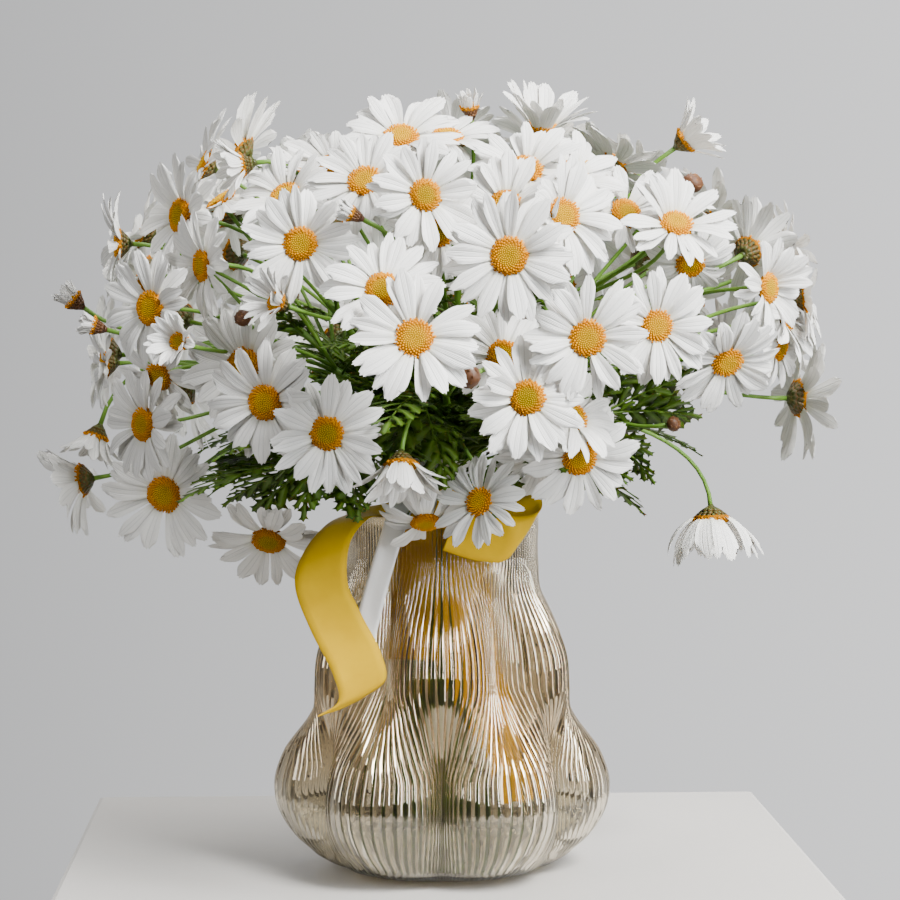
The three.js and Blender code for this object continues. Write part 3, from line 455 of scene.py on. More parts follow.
ROWS = np.array([0, 0.12, 0.28, 0.46, 0.64, 0.8, 0.92, 1])
COLUMNS = np.array([-1, -0.76, -0.52, -0.26, 0, 0.26, 0.52, 0.76, 1])
BREADTH = np.array([0.4, 0.52, 0.72, 0.9, 1.0, 0.98, 0.88, 0.66])  # at each row, as a share of the half width
GROOVES = np.array([0, 0.2, 0.26, -0.44, 0.2, -0.44, 0.26, 0.2, 0])  # relief of the face at each column, mm
NOTCHES = np.array([0.24, 0.1, 0.03, 0.045, 0.0, 0.055, 0.035, 0.11, 0.26])  # how much sooner each ends
PETAL_THICKNESS = 0.4
PETAL_STEPS = 40  # of the line that it is bent along
PETAL_WIDTH = 7.9  # on a head of 60 mm
PETAL_CURL = 0.08
PETAL_ROOT = {"out": 0.76, "z": -0.9}  # the share of the disc's radius, and the height, where it is rooted
PETAL_SHORTEST = 0.5  # share of its full length
PETAL_LOST = 0.35  # the share where the construction had to leave one out
LAYER_RISE = (-4, 5)  # of the lower and the upper layer of petals, degrees
LAYER_STEP = 0.55
PETAL_SPREAD = {"angle": 0.85, "rise": 17, "length": 0.16, "width": 0.5, "arch": 22, "curl": 0.5, "twist": 46,
                "sway": 0.26}  # how much each measure differs between the petals of a head


def petal_skin():
    """Index arrays of a petal: an upper sheet, and a lower one that shares its rim."""
    rows, columns = len(ROWS), len(COLUMNS)
    upper = np.arange(rows * columns).reshape(rows, columns)
    lower = upper.copy()
    lower[1:-1, 1:-1] = rows * columns + np.arange((rows - 2) * (columns - 2)).reshape(rows - 2, columns - 2)

    def quads(grid):
        return np.stack([grid[:-1, :-1], grid[1:, :-1], grid[1:, 1:], grid[:-1, 1:]], -1).reshape(-1, 4)

    rim = np.zeros((rows - 2) * (columns - 2) + rows * columns, bool)
    edge = np.ones((rows, columns), bool)
    edge[1:-1, 1:-1] = False
    rim[upper[edge]] = True
    return np.concatenate([quads(upper), quads(lower)[:, ::-1]]), rim


PETAL_FACES, PETAL_RIM = petal_skin()


def petal_points(length, width, rise, arch, curl, twist, sway):
    """A petal along +X: its stalk end at the origin, its face up."""
    fine = np.linspace(0, 1, PETAL_STEPS + 1)
    slope = np.radians(rise + arch * (1 - 2 * fine))
    steps = np.concatenate([[0], np.full(PETAL_STEPS, length / PETAL_STEPS)])
    line = np.stack([np.cumsum(steps * np.cos(slope)), np.cumsum(steps * np.sin(slope))], 1)
    t = ROWS[:, None] * (1 - NOTCHES[None, :] * ROWS[:, None] ** 5)
    x, z = (np.interp(t, fine, line[:, k]) for k in (0, 1))
    lean = np.interp(t, fine, slope)
    across = COLUMNS[None, :] * BREADTH[:, None] * width / 2
    roll = np.radians(twist) * ROWS[:, None]
    fade = np.sin(np.pi * np.clip(ROWS[:, None] * 0.93 + 0.05, 0, 1)) ** 0.5
    relief = GROOVES[None, :] * fade + curl * np.abs(COLUMNS[None, :]) ** 2 * width * 0.5 * fade

    def at(height):
        side = across * np.cos(roll) - height * np.sin(roll)
        up = across * np.sin(roll) + height * np.cos(roll)
        side = side + sway * length * ROWS[:, None] ** 2
        return np.stack([x - up * np.sin(lean), side, z + up * np.cos(lean)], -1)

    body = PETAL_THICKNESS / 2 * (1 - np.abs(COLUMNS[None, :]) ** 3) * (1 - ROWS[:, None] ** 6)
    upper = at(relief + body)
    lower = at(0.6 * relief - body)[1:-1, 1:-1]
    return np.concatenate([upper.reshape(-1, 3), lower.reshape(-1, 3)])


def petal_values():
    """Where on the petal each of its points lies, along and across."""
    grids = np.meshgrid(ROWS, COLUMNS, indexing="ij")
    return [np.concatenate([v.ravel(), v[1:-1, 1:-1].ravel()]) for v in grids]


PETAL_ALONG, PETAL_ACROSS = petal_values()


def between(blades, angle, column, missing):
    """A value of the CAD's petals at an angle, blended from the two that stand beside it."""
    n = len(blades)
    place = (angle / (2 * math.pi) * n - 0.5) % n
    k = int(place)
    a, b = (missing if blades[i % n] is None else blades[i % n][column] for i in (k, k + 1))
    w = place - k
    return lerp(a, b, w * w * (3 - 2 * w))


def add_petals(pile, head, seed):
    kind = KINDS[head["kind"]]
    n = kind["petals"] + round(4 * spread(seed, 1))
    r = disc_radius(head)
    full = head["width"] / 2 - r
    turn = turn_to(head["way"])
    base = PETAL_ROOT["out"] * r
    for i in range(n):
        s = seed * 31 + i
        own = {name: size * spread(s, k) for k, (name, size) in enumerate(PETAL_SPREAD.items(), 2)}
        angle = 2 * math.pi * (i + own["angle"]) / n
        layer = i % 2
        rise = between(head["blades"], angle, 0, kind["rise"]) + LAYER_RISE[layer] + own["rise"]
        share = between(head["blades"], angle, 1, PETAL_LOST)
        length = full * max(share, PETAL_SHORTEST) * (1.0 + own["length"]) + (r - base)
        width = PETAL_WIDTH * kind["broad"] * (head["width"] / 60) ** 0.9 * (1 + own["width"])
        points = petal_points(length, width, rise, kind["arch"] + own["arch"], PETAL_CURL + own["curl"],
                              own["twist"], own["sway"])
        points += [base, 0, PETAL_ROOT["z"] + LAYER_STEP * layer]
        c, d = math.cos(angle), math.sin(angle)
        points = points @ np.array([[c, d, 0], [-d, c, 0], [0, 0, 1]])
        pile.add(points @ turn + head["at"], [PETAL_FACES], PETAL_RIM, along=PETAL_ALONG, across=PETAL_ACROSS,
                 tone=spread(s, 10) + 0.5)


# ---- discs ----

FLORET_PITCH = 1.25
FINE_PITCH = 0.95
FLORET_RING = 0.6  # share of the radius where the ring begins
FLORET_RADIUS = {"ring": 0.56, "fine": 0.42}
FLORET_HEIGHT = {"open": 1.15, "ring": 0.7, "fine": 0.42}
FLORET_SIDES = 5
HONEYCOMB = 0.866  # area of a floret's place in a full packing, over its pitch squared
GOLDEN_TURN = math.pi * (3 - math.sqrt(5))
DISC_SIDES = 20
DISC_SHARES = np.linspace(1, 0.06, 7)  # radii of the dome's rings, as shares
DISC_SINK, FLORET_SINK = 0.5, 0.4  # of the dome's skin, and of the florets on it, below dome_height
SKIRT_Z = -1.6


def dome_height(share, r, dimple):
    """Height of the disc's dome over its foot, at a share of its radius."""
    return 0.34 * r * (1 - share ** 2) ** 0.6 - dimple * r * math.exp(-((share / 0.35) ** 2))


def floret_faces():
    """Faces of a floret: its side, and the five that meet at its tip."""
    k = np.arange(FLORET_SIDES)
    tip = np.full(FLORET_SIDES, 2 * FLORET_SIDES)
    top = np.stack([k + FLORET_SIDES, (k + 1) % FLORET_SIDES + FLORET_SIDES, tip], 1)
    return [ring_faces(2, FLORET_SIDES), top]


FLORET_FACES = floret_faces()


def add_floret(pile, head, turn, at, way, radius, height, opened, **values):
    """A floret: a five-sided tube with a pointed bud on it, or a mouth where it has opened."""
    side = unit(np.cross(way, [0.2, 1, 0.1]))
    other = np.cross(way, side)
    a = 2 * np.pi * np.arange(FLORET_SIDES) / FLORET_SIDES
    spokes = np.cos(a)[:, None] * side + np.sin(a)[:, None] * other
    foot = at - 0.5 * height * way + 0.8 * radius * spokes
    lip = at + height * way + radius * (1.05 if opened else 0.72) * spokes
    tip = at + height * way * (0.45 if opened else 1.5)
    points = np.concatenate([foot, lip, [tip]])
    # Painted shade, passed on as height: dark at the foot, light at the lip and a closed floret's tip, dark
    # in an opened mouth.
    shade = np.concatenate([np.zeros(FLORET_SIDES), np.ones(FLORET_SIDES), [0.0 if opened else 1.0]])
    pile.add(points @ turn + head["at"], FLORET_FACES, height=shade, **values)


def floret_spots(r):
    """Where a disc's florets stand, as shares of its radius, and which of them belong to the ring."""
    inner = round((FLORET_RING * r / FINE_PITCH) ** 2 * math.pi / HONEYCOMB)
    outer = round((1 - FLORET_RING ** 2) * (r / FLORET_PITCH) ** 2 * math.pi / HONEYCOMB)
    fine = [(FLORET_RING * math.sqrt((j + 0.5) / inner), False) for j in range(inner)]
    return fine + [(math.sqrt(lerp(FLORET_RING ** 2, 1, (j + 0.5) / outer)), True) for j in range(outer)]


def add_disc(pile, head, seed):
    """A low dome with florets on it; those of the ring open from the edge inwards as the disc ripens."""
    r = disc_radius(head)
    turn = turn_to(head["way"])
    ripe = head["ripe"] if head["ripe"] is not None else 0.45 + 0.8 * spread(seed, 20)
    ripe = min(1, max(0, ripe))
    dimple = 0.1 * (1 - ripe)
    rings = [circle(0.8 * r, SKIRT_Z, DISC_SIDES)]
    for share in DISC_SHARES:
        rings.append(circle(r * share, dome_height(share, r, dimple) - DISC_SINK, DISC_SIDES))
    points, faces = capped(rings, [0, 0, SKIRT_Z], [0, 0, dome_height(0, r, dimple) - DISC_SINK])
    out = np.concatenate([np.ones(DISC_SIDES), np.repeat(DISC_SHARES, DISC_SIDES), [1, 0]])
    # Height 0: the bare dome between the florets gets the darkest painted shade.
    pile.add(points @ turn + head["at"], faces, out=out, ripe=ripe, height=0.0, tone=0.5)
    opening = 1 - 0.75 * ripe if head["kind"] != "brush" else 1
    for j, (share, ring) in enumerate(floret_spots(r)):
        angle = j * GOLDEN_TURN
        rho = r * share * 0.99
        z = dome_height(share, r, dimple) - FLORET_SINK
        at = np.array([rho * math.cos(angle), rho * math.sin(angle), z])
        lean = 0.75 * share ** 1.5
        way = np.array([math.sin(lean) * math.cos(angle), math.sin(lean) * math.sin(angle), math.cos(lean)])
        opened = ring and share > opening + 0.1 * spread(j + seed, 21)
        sort = "ring" if ring else "fine"
        size = FLORET_RADIUS[sort] * (1 + 0.2 * spread(j, 22 + seed))
        height = FLORET_HEIGHT["open" if opened else sort] * (1 + 0.4 * spread(j, 23 + seed))
        add_floret(pile, head, turn, at, way, size, height, opened, out=share, ripe=ripe,
                   tone=spread(j, 24) + 0.5)


# ---- calyx, buds, stalks and stems ----

# A scale: six points of its rim, [along, across], and a seventh in the middle that stands higher.
BRACT_OUTLINE = [(0, -0.5), (0.45, -0.62), (0.85, -0.36), (1.08, 0), (0.85, 0.36), (0.45, 0.62), (0.5, 0)]
BRACT_MARGIN = np.array([0.4, 0.9, 1, 1, 1, 0.9, 0.0])
BRACT_FACES = [np.array([[0, 1, 6], [1, 2, 6], [2, 3, 6], [3, 4, 6], [4, 5, 6], [5, 0, 6], [0, 5, 1],
                         [1, 5, 4], [1, 4, 2], [2, 4, 3]])]


def husk(head):
    """What the green material reads: 0 is a stalk, a half is an open head's calyx and 1 is a bud."""
    return 1.0 if head["kind"] in ("bud", "brush") else 0.5


def add_bract(pile, head, turn, angle, low, high, width, lift):
    """A pointed scale that lies on a cup from its point low to its point high, [radius, height] each."""
    slope = np.array(high) - np.array(low)
    normal = unit(np.array([slope[1], -slope[0]])) if slope[1] else np.array([0, -1.0])
    if normal[0] < 0:
        normal = -normal
    points = []
    for index, (along, across) in enumerate(BRACT_OUTLINE):
        raised = lift * (0.35 + 0.65 * along) * (1.5 if index == 6 else 1)
        radius, height = np.array(low) + slope * along + normal * raised
        turned = angle + across * width / max(radius, 0.8)
        points.append([radius * math.cos(turned), radius * math.sin(turned), height])
    pile.add(np.array(points) @ turn + head["at"], BRACT_FACES, margin=BRACT_MARGIN, kind=husk(head))


def add_cup(pile, head, profile, sides=14):
    """A turned cup about the head's axis, from a profile of [radius, height]."""
    rings = [circle(r, z, sides) for r, z in profile]
    points, faces = capped(rings, [0, 0, profile[0][1]], [0, 0, profile[-1][1]])
    pile.add(points @ turn_to(head["way"]) + head["at"], faces, margin=0.0, kind=husk(head))


def add_calyx(pile, head, seed):
    """A cup of scales in three rows, low and high points of [radius, height] for each."""
    r = disc_radius(head)
    deep = CALYX_DEPTH * min(1, r / 6 + 0.3)
    profile = [[1.2, -deep - 0.9], [1.7, -deep + 0.2], [0.36 * r, -0.74 * deep], [0.6 * r, -0.48 * deep],
               [0.8 * r, -0.24 * deep], [0.8 * r, -0.1 * deep]]
    add_cup(pile, head, profile)
    turn = turn_to(head["way"])
    rows = [(profile[3], [0.92 * r, -0.4], 17, 0.35), (profile[2], profile[4], 14, 0.4),
            (profile[1], profile[3], 10, 0.45)]
    for row, (low, high, count, lift) in enumerate(rows):
        for k in range(count):
            angle = 2 * math.pi * (k + 0.5 * (row % 2) + 0.2 * spread(k + seed, row + 30)) / count
            add_bract(pile, head, turn, angle, low, high, 2 * math.pi * r / count * 0.85, lift)


def add_bud(pile, head):
    """A closed bud: a plump ball under overlapping scales."""
    r = head["width"] / 2
    turn = turn_to(head["way"])

    def on_ball(share):
        return [r * math.sin(share * math.pi), -r * 0.85 * math.cos(share * math.pi)]

    profile = []
    for share in np.linspace(0.12, 0.97, 8):
        radius, height = on_ball(share)
        profile.append([radius * (1 if share * math.pi > 1.6 else 0.96), height])
    add_cup(pile, head, profile)
    for row, (a, b, count) in enumerate([(0.55, 0.93, 6), (0.36, 0.78, 7), (0.2, 0.6, 7)]):
        low, high = on_ball(a), on_ball(b)
        for k in range(count):
            angle = 2 * math.pi * (k + 0.5 * (row % 2)) / count
            add_bract(pile, head, turn, angle, low, high, 1.5 * math.pi * r / count, 0.25)


STEM_SIDES, THIN_SIDES = 10, 8  # of flowering stems, and of stalks and leafy stems
STEM_RADIUS = 1.75
LEAFY_RADIUS = 1.5
STEM_STATIONS = np.linspace(0, 1, 30)


def add_stalk(pile, path):
    """A stalk, thicker where it leaves the stem and where it meets the calyx."""
    run = np.linspace(0, 1, 15)
    thick = 1.35 - 0.35 * np.clip(run / 0.2, 0, 1) + 0.35 * np.clip((run - 0.86) / 0.14, 0, 1) ** 2
    tube(pile, [bezier(path, t) for t in run], thick, THIN_SIDES, margin=0.0, kind=0.0)


def add_stem(pile, path):
    """A stem, a little uneven, and thinner at the top."""
    uneven = 1 + 0.06 * np.sin(9 * STEM_STATIONS + path[0][0])
    thick = STEM_RADIUS * uneven * lerp(1.08, 0.92, STEM_STATIONS)
    tube(pile, [catmull(path, t) for t in STEM_STATIONS], thick, STEM_SIDES, margin=0.0, kind=0.0)


# ---- leaves ----

# One side of a lobe, root to tip, as [share of its length, share of its half width]: two teeth and
# the point. Corners of its faces are numbers on the rib, or "s" and a number on that side, or "t", the tip.
LOBE_SIDE = [(0.0, 0.26), (0.28, 0.34), (0.52, 1.0), (0.54, 0.4), (0.74, 0.42), (0.88, 0.74), (0.86, 0.28)]
LOBE_MID = [0.0, 0.3, 0.55, 0.84]
LOBE_FACES = [(0, "s0", "s1", 1), (1, "s1", "s2", "s3"), (1, "s3", 2), (2, "s3", "s4"), (2, "s4", 3),
              (3, "s4", "s5", "s6"), (3, "s6", "t")]


def lobe_shape():
    """Points (along, across, rib) and faces of a toothed lobe, an upper and a lower sheet sharing the rim."""
    m, s = len(LOBE_MID), len(LOBE_SIDE)
    middle = [(x, 0.0, 1.0) for x in LOBE_MID]
    left = [(x, w, 0.0) for x, w in LOBE_SIDE]
    right = [(min(1, x * 1.06), -w * 0.92, 0.0) for x, w in LOBE_SIDE]
    points = np.array([*middle, *left, *right, (1.0, 0.0, 0.0), *[(x, 0.0, -1.0) for x in LOBE_MID]])
    tip = m + 2 * s
    quads, triangles = [], []
    for start, flip in ((m, False), (m + s, True)):
        for face in LOBE_FACES:
            upper = [tip if c == "t" else start + int(c[1]) if isinstance(c, str) else c for c in face]
            lower = [tip + 1 + c if c < m else c for c in upper]
            pair = (upper, lower[::-1]) if flip else (upper[::-1], lower)
            for f in pair:
                (quads if len(f) == 4 else triangles).append(f)
    root = [[0, m, tip + 1], [0, tip + 1, m + s]]
    return points, [np.array(quads), np.array(triangles + root)]


LOBE_POINTS, LOBE_FACE_LISTS = lobe_shape()


def lobe_at(pile, root, way, side, up, length, width, bend, tone):
    along, across, rib = LOBE_POINTS.T
    drop = bend * length * along ** 2
    thick = 0.28 * rib - 0.12 * np.abs(across)
    points = (root + np.outer(along * length, way) + np.outer(across * width / 2, side)
              + np.outer(thick - drop + 0.05 * length * np.abs(across), up))
    pile.add(points, LOBE_FACE_LISTS, margin=1 - np.abs(rib), tone=tone)


LEAF_STEPS = 8
LEAF_RIB = {"root": 0.75, "tip": 0.35, "sides": 5}  # radii, in mm
LOBE_REACHES = (0.62, 0.95, 1.1, 0.95, 0.66)  # of each pair, as shares of the leaf's half width
LOBES_FROM, LOBES_OVER = 0.22, 0.66  # where the pairs stand, as shares of the rib


def add_leaf(pile, at, way, length, width, droop, seed, roll=0.0, broad=0.66):
    """A finely cut leaf: a bowed rib, pairs of toothed lobes that lean forward, and one at the tip."""
    side = unit(np.cross([0, 0, 1.0], way))
    up = np.cross(way, side)
    c, s = math.cos(roll), math.sin(roll)
    side, up = c * side + s * up, c * up - s * side

    def rib_at(t):
        return at + way * length * t * (1 - 0.08 * droop * t) - up * droop * length * t * t * 0.5

    def lobe(root, out, long, wide, bend, tone):
        over = unit(up - out * up.dot(out))
        lobe_at(pile, root, out, np.cross(over, out), over, long, wide, bend, tone + 0.5)

    rib = [rib_at(t) for t in np.linspace(0, 1, LEAF_STEPS)]
    thick = np.linspace(LEAF_RIB["root"], LEAF_RIB["tip"], LEAF_STEPS)
    tube(pile, rib, thick, LEAF_RIB["sides"], margin=0.0, tone=spread(seed, 40) + 0.5)
    for k, share in enumerate(LOBE_REACHES):
        t = LOBES_FROM + LOBES_OVER * k / (len(LOBE_REACHES) - 1)
        ahead = unit(way - up * droop * t)
        reach = width / 2 * share * (1 + 0.25 * spread(seed + k, 41))
        for flip in (1, -1):
            turn = math.radians(52 - 5 * k + 14 * spread(seed * 7 + k, 42 + flip))
            out = unit(math.cos(turn) * ahead + flip * math.sin(turn) * side + 0.12 * up)
            lobe(rib_at(t), out, reach, reach * broad, 0.18, spread(seed + k, 43))
    out = unit(way - up * droop)
    lobe(rib[-1] - 2 * out, out, width * 0.34, width * 0.26, 0.1, spread(seed, 44))


# Fronds that hang out below the heads: [leafy stem, place along it, turn, lift, length, width, droop, roll].
FRONDS = [
    [0, 1.0, -88, 4, 44, 34, 0.4, 0.3], [0, 0.97, -70, 16, 42, 32, 0.4, 0.3],
    [0, 0.94, -112, -12, 46, 34, 0.4, 0.3], [0, 0.91, -96, 10, 48, 36, 0.5, 0.5],
    [0, 0.87, -122, -20, 46, 34, 0.4, 0.6], [0, 0.84, -80, 22, 46, 34, 0.5, 0.5],
    [1, 1.0, -30, -40, 46, 32, 0.6, 0.0], [1, 0.96, 20, -48, 44, 32, 0.5, 0.0],
    [1, 0.93, -66, -20, 46, 34, 0.6, 0.2], [2, 1.0, -30, -30, 40, 30, 0.6, 0.0],
    [2, 0.96, 24, -42, 42, 30, 0.4, 0.0], [2, 0.93, -70, -45, 44, 30, 0.5, 0.2],
    [3, 1.0, 98, -8, 42, 30, 0.4, -0.6], [3, 0.95, 108, -16, 42, 30, 0.5, -0.8],
    [3, 0.9, -20, -30, 40, 28, 0.5, 0.0], [4, 1.0, 98, 30, 46, 36, 0.3, -0.75],
    [4, 1.0, 112, 8, 42, 34, 0.4, -0.8], [4, 0.96, 100, -34, 40, 26, 0.4, -0.6],
    [4, 0.95, 106, 46, 44, 34, 0.4, -0.9], [4, 0.92, 114, -16, 38, 28, 0.3, -0.7],
]
FROND_BROAD = 0.85  # of its lobes, width over length

# The construction's leaves: where they sit on a leafy stem, and how each is turned.
LEAVES_ON_A_STEM = 3
LEAF = {"length": 58, "width": 40, "step": 0.09, "turns": [-8, 62, -66], "tilts": [2, -8, -14]}
LEAF_SWINGS = (0, 20, -20, 40, -40, 62, -62, 90, -90, 130, 180)  # to keep clear of the others
LEAF_SLACK = 0.6


def place_on(path, t, step):
    """A place on a stem, the way the stem runs there, and where that points, in degrees."""
    at = catmull(path, t)
    out = at - catmull(path, t - step)
    return at, out, math.degrees(math.atan2(out[0], -out[1]))


def cad_leaves(corners, path):
    """Places and ways of the construction's leaves on a stem, told by the corner at each leaf's tip."""
    found = []
    for k in range(LEAVES_ON_A_STEM):
        t = 1 - LEAF["step"] * k
        at, _, heading = place_on(path, t, 1e-4)  # a short step: the leaf's tip is matched to the CAD's
        size = 1 - 0.06 * k
        for extra in LEAF_SWINGS:
            way = facing(heading + LEAF["turns"][k] + extra, LEAF["tilts"][k] - abs(extra) / 5)
            up = np.cross(way, unit(np.cross([0, 0, 1.0], way)))
            tip = at - way + size * (way * LEAF["length"] - up * 0.3 * LEAF["length"] * 0.65)
            if np.linalg.norm(corners - tip, axis=1).min() < LEAF_SLACK:
                found.append((at, way, size))
                break
    return found


# ---- the vase ----

RIBS = 156
RIB_DEPTH = 0.95
RIB_ROOM = 2.4  # between ribs, where they have their full depth
RIB_STEPS = 6
SEGMENTS = RIB_STEPS * RIBS
WATER_SEGMENTS = 96
# The two tiers of lobes: the height of their middle, how far up and down they reach, and their depth.
LOWER_TIER = {"z": 44, "reach": 50, "depth": 22}
UPPER_TIER = {"z": 106, "reach": 46, "depth": 17}
# How the ribs lean with the lobes, from the height of the middle, the reach, and the pull.
FLOWS = [(106, 50, 0.62), (40, 56, -0.68)]


def bell(z, middle, reach):
    """1 at the middle height, falling to 0 at the reach above and below."""
    return np.clip(np.cos(np.pi / 2 * np.minimum(1, np.abs(z - middle) / reach)), 0, 1) ** 1.5


def body_radius(z):
    """The profile's radius, smooth through its points."""
    heights, radii = (np.array(column, float) for column in zip(*BODY))
    slopes = np.gradient(radii, heights)
    z = np.clip(z, heights[0], heights[-1])
    k = np.clip(np.searchsorted(heights, z) - 1, 0, len(heights) - 2)
    h = heights[k + 1] - heights[k]
    w = (z - heights[k]) / h
    a, b = radii[k], radii[k + 1]
    m, n = slopes[k] * h, slopes[k + 1] * h
    return a + w * m + w * w * (3 * (b - a) - 2 * m - n) + w ** 3 * (2 * (a - b) + m + n)


def lobes(angle, z):
    """How far the wall stands out at an angle and a height; the tiers are half a lobe apart."""
    out = 0
    for tier, shift in ((LOWER_TIER, np.pi / LOBES), (UPPER_TIER, 0)):
        swell = np.abs(np.cos(LOBES / 2 * (angle - shift))) - 0.6
        out = out + tier["depth"] * bell(z, tier["z"], tier["reach"]) * swell
    return out


def flow(u, z):
    """The ribs crowd into the creases between the lobes and spread over the lobes."""
    pull = sum(amount * bell(z, middle, reach) ** 0.6 for middle, reach, amount in FLOWS)
    return u + pull / LOBES * np.sin(LOBES * u)


def lobed_rings(heights, inset, segments, ribbed=False):
    """Rings of the vase's wall, moved in by inset."""
    rings = []
    u = 2 * np.pi * np.arange(segments) / segments
    for z in heights:
        angle = flow(u, z)
        r = body_radius(z) + lobes(angle, z) - inset
        if ribbed:
            crest = np.abs(np.cos(RIBS / 2 * u)) ** 0.8 - 0.5
            room = np.gradient(np.unwrap(angle), u) * r * 2 * np.pi / RIBS  # from one rib to the next
            end = np.clip((z - 1.5) / 7, 0, 1) * np.clip((VASE_HEIGHT - 2 - z) / 6, 0, 1)
            r = r + RIB_DEPTH * crest * np.clip(room / RIB_ROOM, 0.25, 1.15) * end
        rings.append(np.stack([r * np.sin(angle), -r * np.cos(angle), np.full(segments, z)], 1))
    return rings


def ease(value, low, high):
    t = np.clip((value - low) / (high - low), 0, 1)
    return t * t * (3 - 2 * t)


def coating(z):
    """The share of the lustre at a height: thin at the mouth and nearly none at the foot."""
    return (0.12 + 0.88 * ease(z, 28, 62)) * (1 - 0.6 * ease(z, 112, 160))


def vase_piece(material):
    """The glass: ribbed outside, smooth inside, with a rounded lip and a thick foot."""
    pile = Pile("lustre")
    rise = np.concatenate([[0.6, 2, 4.5, 8], np.arange(12, 176, 3.0), [176, 178.2, 179.5]])
    outside = lobed_rings(rise, 0, SEGMENTS, True)
    foot = [ring * [0.93, 0.93, 0] for ring in outside[:1]]
    lip = [lobed_rings([VASE_HEIGHT], GLASS * share, SEGMENTS)[0] - [0, 0, 0.1] for share in (0.25, 0.75)]
    down = np.concatenate([[179, 176], np.arange(170, 14, -6), [12, 9]])
    inside = lobed_rings(down, GLASS, SEGMENTS)
    floor = [inside[-1] * [0.9, 0.9, 0] + [0, 0, 6.2], inside[-1] * [0.7, 0.7, 0] + [0, 0, FLOOR]]
    points, faces = capped([*foot, *outside, *lip, *inside, *floor], [0, 0, 0.8], [0, 0, FLOOR])
    coated = len(foot) + len(outside)
    bare = len(points) - coated * SEGMENTS
    lustre = np.concatenate([np.repeat(coating(np.append(0, rise)), SEGMENTS), np.zeros(bare - 2), [0.1, 0]])
    valley = np.arange(SEGMENTS) % RIB_STEPS == RIB_STEPS // 2
    pile.add(points, faces, np.concatenate([np.tile(valley, coated), np.zeros(bare, bool)]), lustre=lustre)
    pile.piece("vase_glass", material, "glass", "vase")


def water_piece(material):
    """The water: the vase's wall moved in, with a surface that is drawn up a little at the rim."""
    pile = Pile()
    wall = lobed_rings([9, 12, 16, 22, 28, WATER_LEVEL], GLASS + WATER_GAP, WATER_SEGMENTS)
    foot = [wall[0] * [0.7, 0.7, 0] + [0, 0, FLOOR + 0.4], wall[0] * [0.9, 0.9, 0] + [0, 0, 6.8]]
    top = [wall[-1] * [0.97, 0.97, 1] - [0, 0, 0.9], wall[-1] * [0.5, 0.5, 1] - [0, 0, 1.1]]
    pile.add(*capped([*foot, *wall, *top], [0, 0, FLOOR + 0.4], [0, 0, WATER_LEVEL - 1.1]))
    pile.piece("water_in_vase", material, "water", "water")


# ---- ribbons ----

SATIN_THICKNESS = 0.35
BAND = np.linspace(-0.5, 0.5, 7)  # columns across a band, as shares of its width
BAND_STEPS = 14  # from one station to the next
RIPPLE = 0.5  # mm
WRAP_SIDES = 72
WRAP_WAVE = {"out": 0.35, "up": 0.4}  # mm


def add_band(pile, stations, width):
    """A band through stations, as in the construction, with finer steps and a ripple in its edges."""
    rows = np.array(stations, float)
    middle, across = list(rows[:, :3]), list(rows[:, 3:])
    places, rings = [], []
    for t in np.linspace(0, 1, BAND_STEPS * (len(rows) - 1) + 1):
        at = catmull(middle, t)
        side = unit(catmull(across, t, False))
        way = unit(catmull(middle, min(1, t + 0.01)) - catmull(middle, max(0, t - 0.01)))
        out = unit(np.cross(way, side))
        bow = RIPPLE * (np.cos(2 * np.pi * BAND) * math.sin(7 * t) + 0.25 * BAND * math.sin(23 * t))
        line = at + np.outer(BAND * width, side) + np.outer(bow, out)
        half = out * SATIN_THICKNESS / 2
        rings.append(np.concatenate([line + half, (line - half)[::-1]]))
        places.append(at)
    length = np.linalg.norm(np.diff(places, axis=0), axis=1).sum()
    n, c = len(rings), len(BAND)
    k = np.arange(c - 1)
    cap = np.stack([k, k + 1, 2 * c - 2 - k, 2 * c - 1 - k], 1)
    along = np.repeat(np.linspace(0, length, n), 2 * c)
    spot = np.tile(np.concatenate([BAND, BAND[::-1]]), n)
    pile.add(np.concatenate(rings), [ring_faces(n, 2 * c), cap[:, ::-1], cap + (n - 1) * 2 * c], along=along,
             across=spot)
    return length


def add_wrap(pile, z, width):
    """The turn of a ribbon round the stems, crumpled a little."""
    k = np.arange(WRAP_SIDES)
    k2 = (k + 1) % WRAP_SIDES
    a = 2 * np.pi * k / WRAP_SIDES
    up = z + WRAP_WAVE["up"] * np.sin(2 * a)
    rings = []
    for skin, heights in ((SATIN_THICKNESS, BAND), (0, BAND[::-1])):
        for h in heights:
            r = TIE_RADIUS + 0.3 + WRAP_WAVE["out"] * np.sin(3 * a + 9 * h) * np.cos(2 * a) + skin
            rings.append(np.stack([r * np.cos(a), r * np.sin(a), up + h * width], 1))
    n = len(rings)
    last = (n - 1) * WRAP_SIDES
    closing = np.stack([last + k, last + k2, k2, k], 1)
    pile.add(np.concatenate(rings), [ring_faces(n, WRAP_SIDES), closing], along=np.tile(a * TIE_RADIUS, n),
             across=np.repeat(np.concatenate([BAND, BAND[::-1]]), WRAP_SIDES))
    return 2 * math.pi * TIE_RADIUS


def ribbon_piece(name, node, tails, width, tie_z, tie_width, material, slot):
    """A ribbon: its turn round the stems, and its bands."""
    pile = Pile("along", "across")
    lengths = [add_band(pile, tail, width) for tail in tails]
    turn = add_wrap(pile, tie_z, tie_width)
    made = pile.piece(name, material, slot, node)


# ---- materials ----


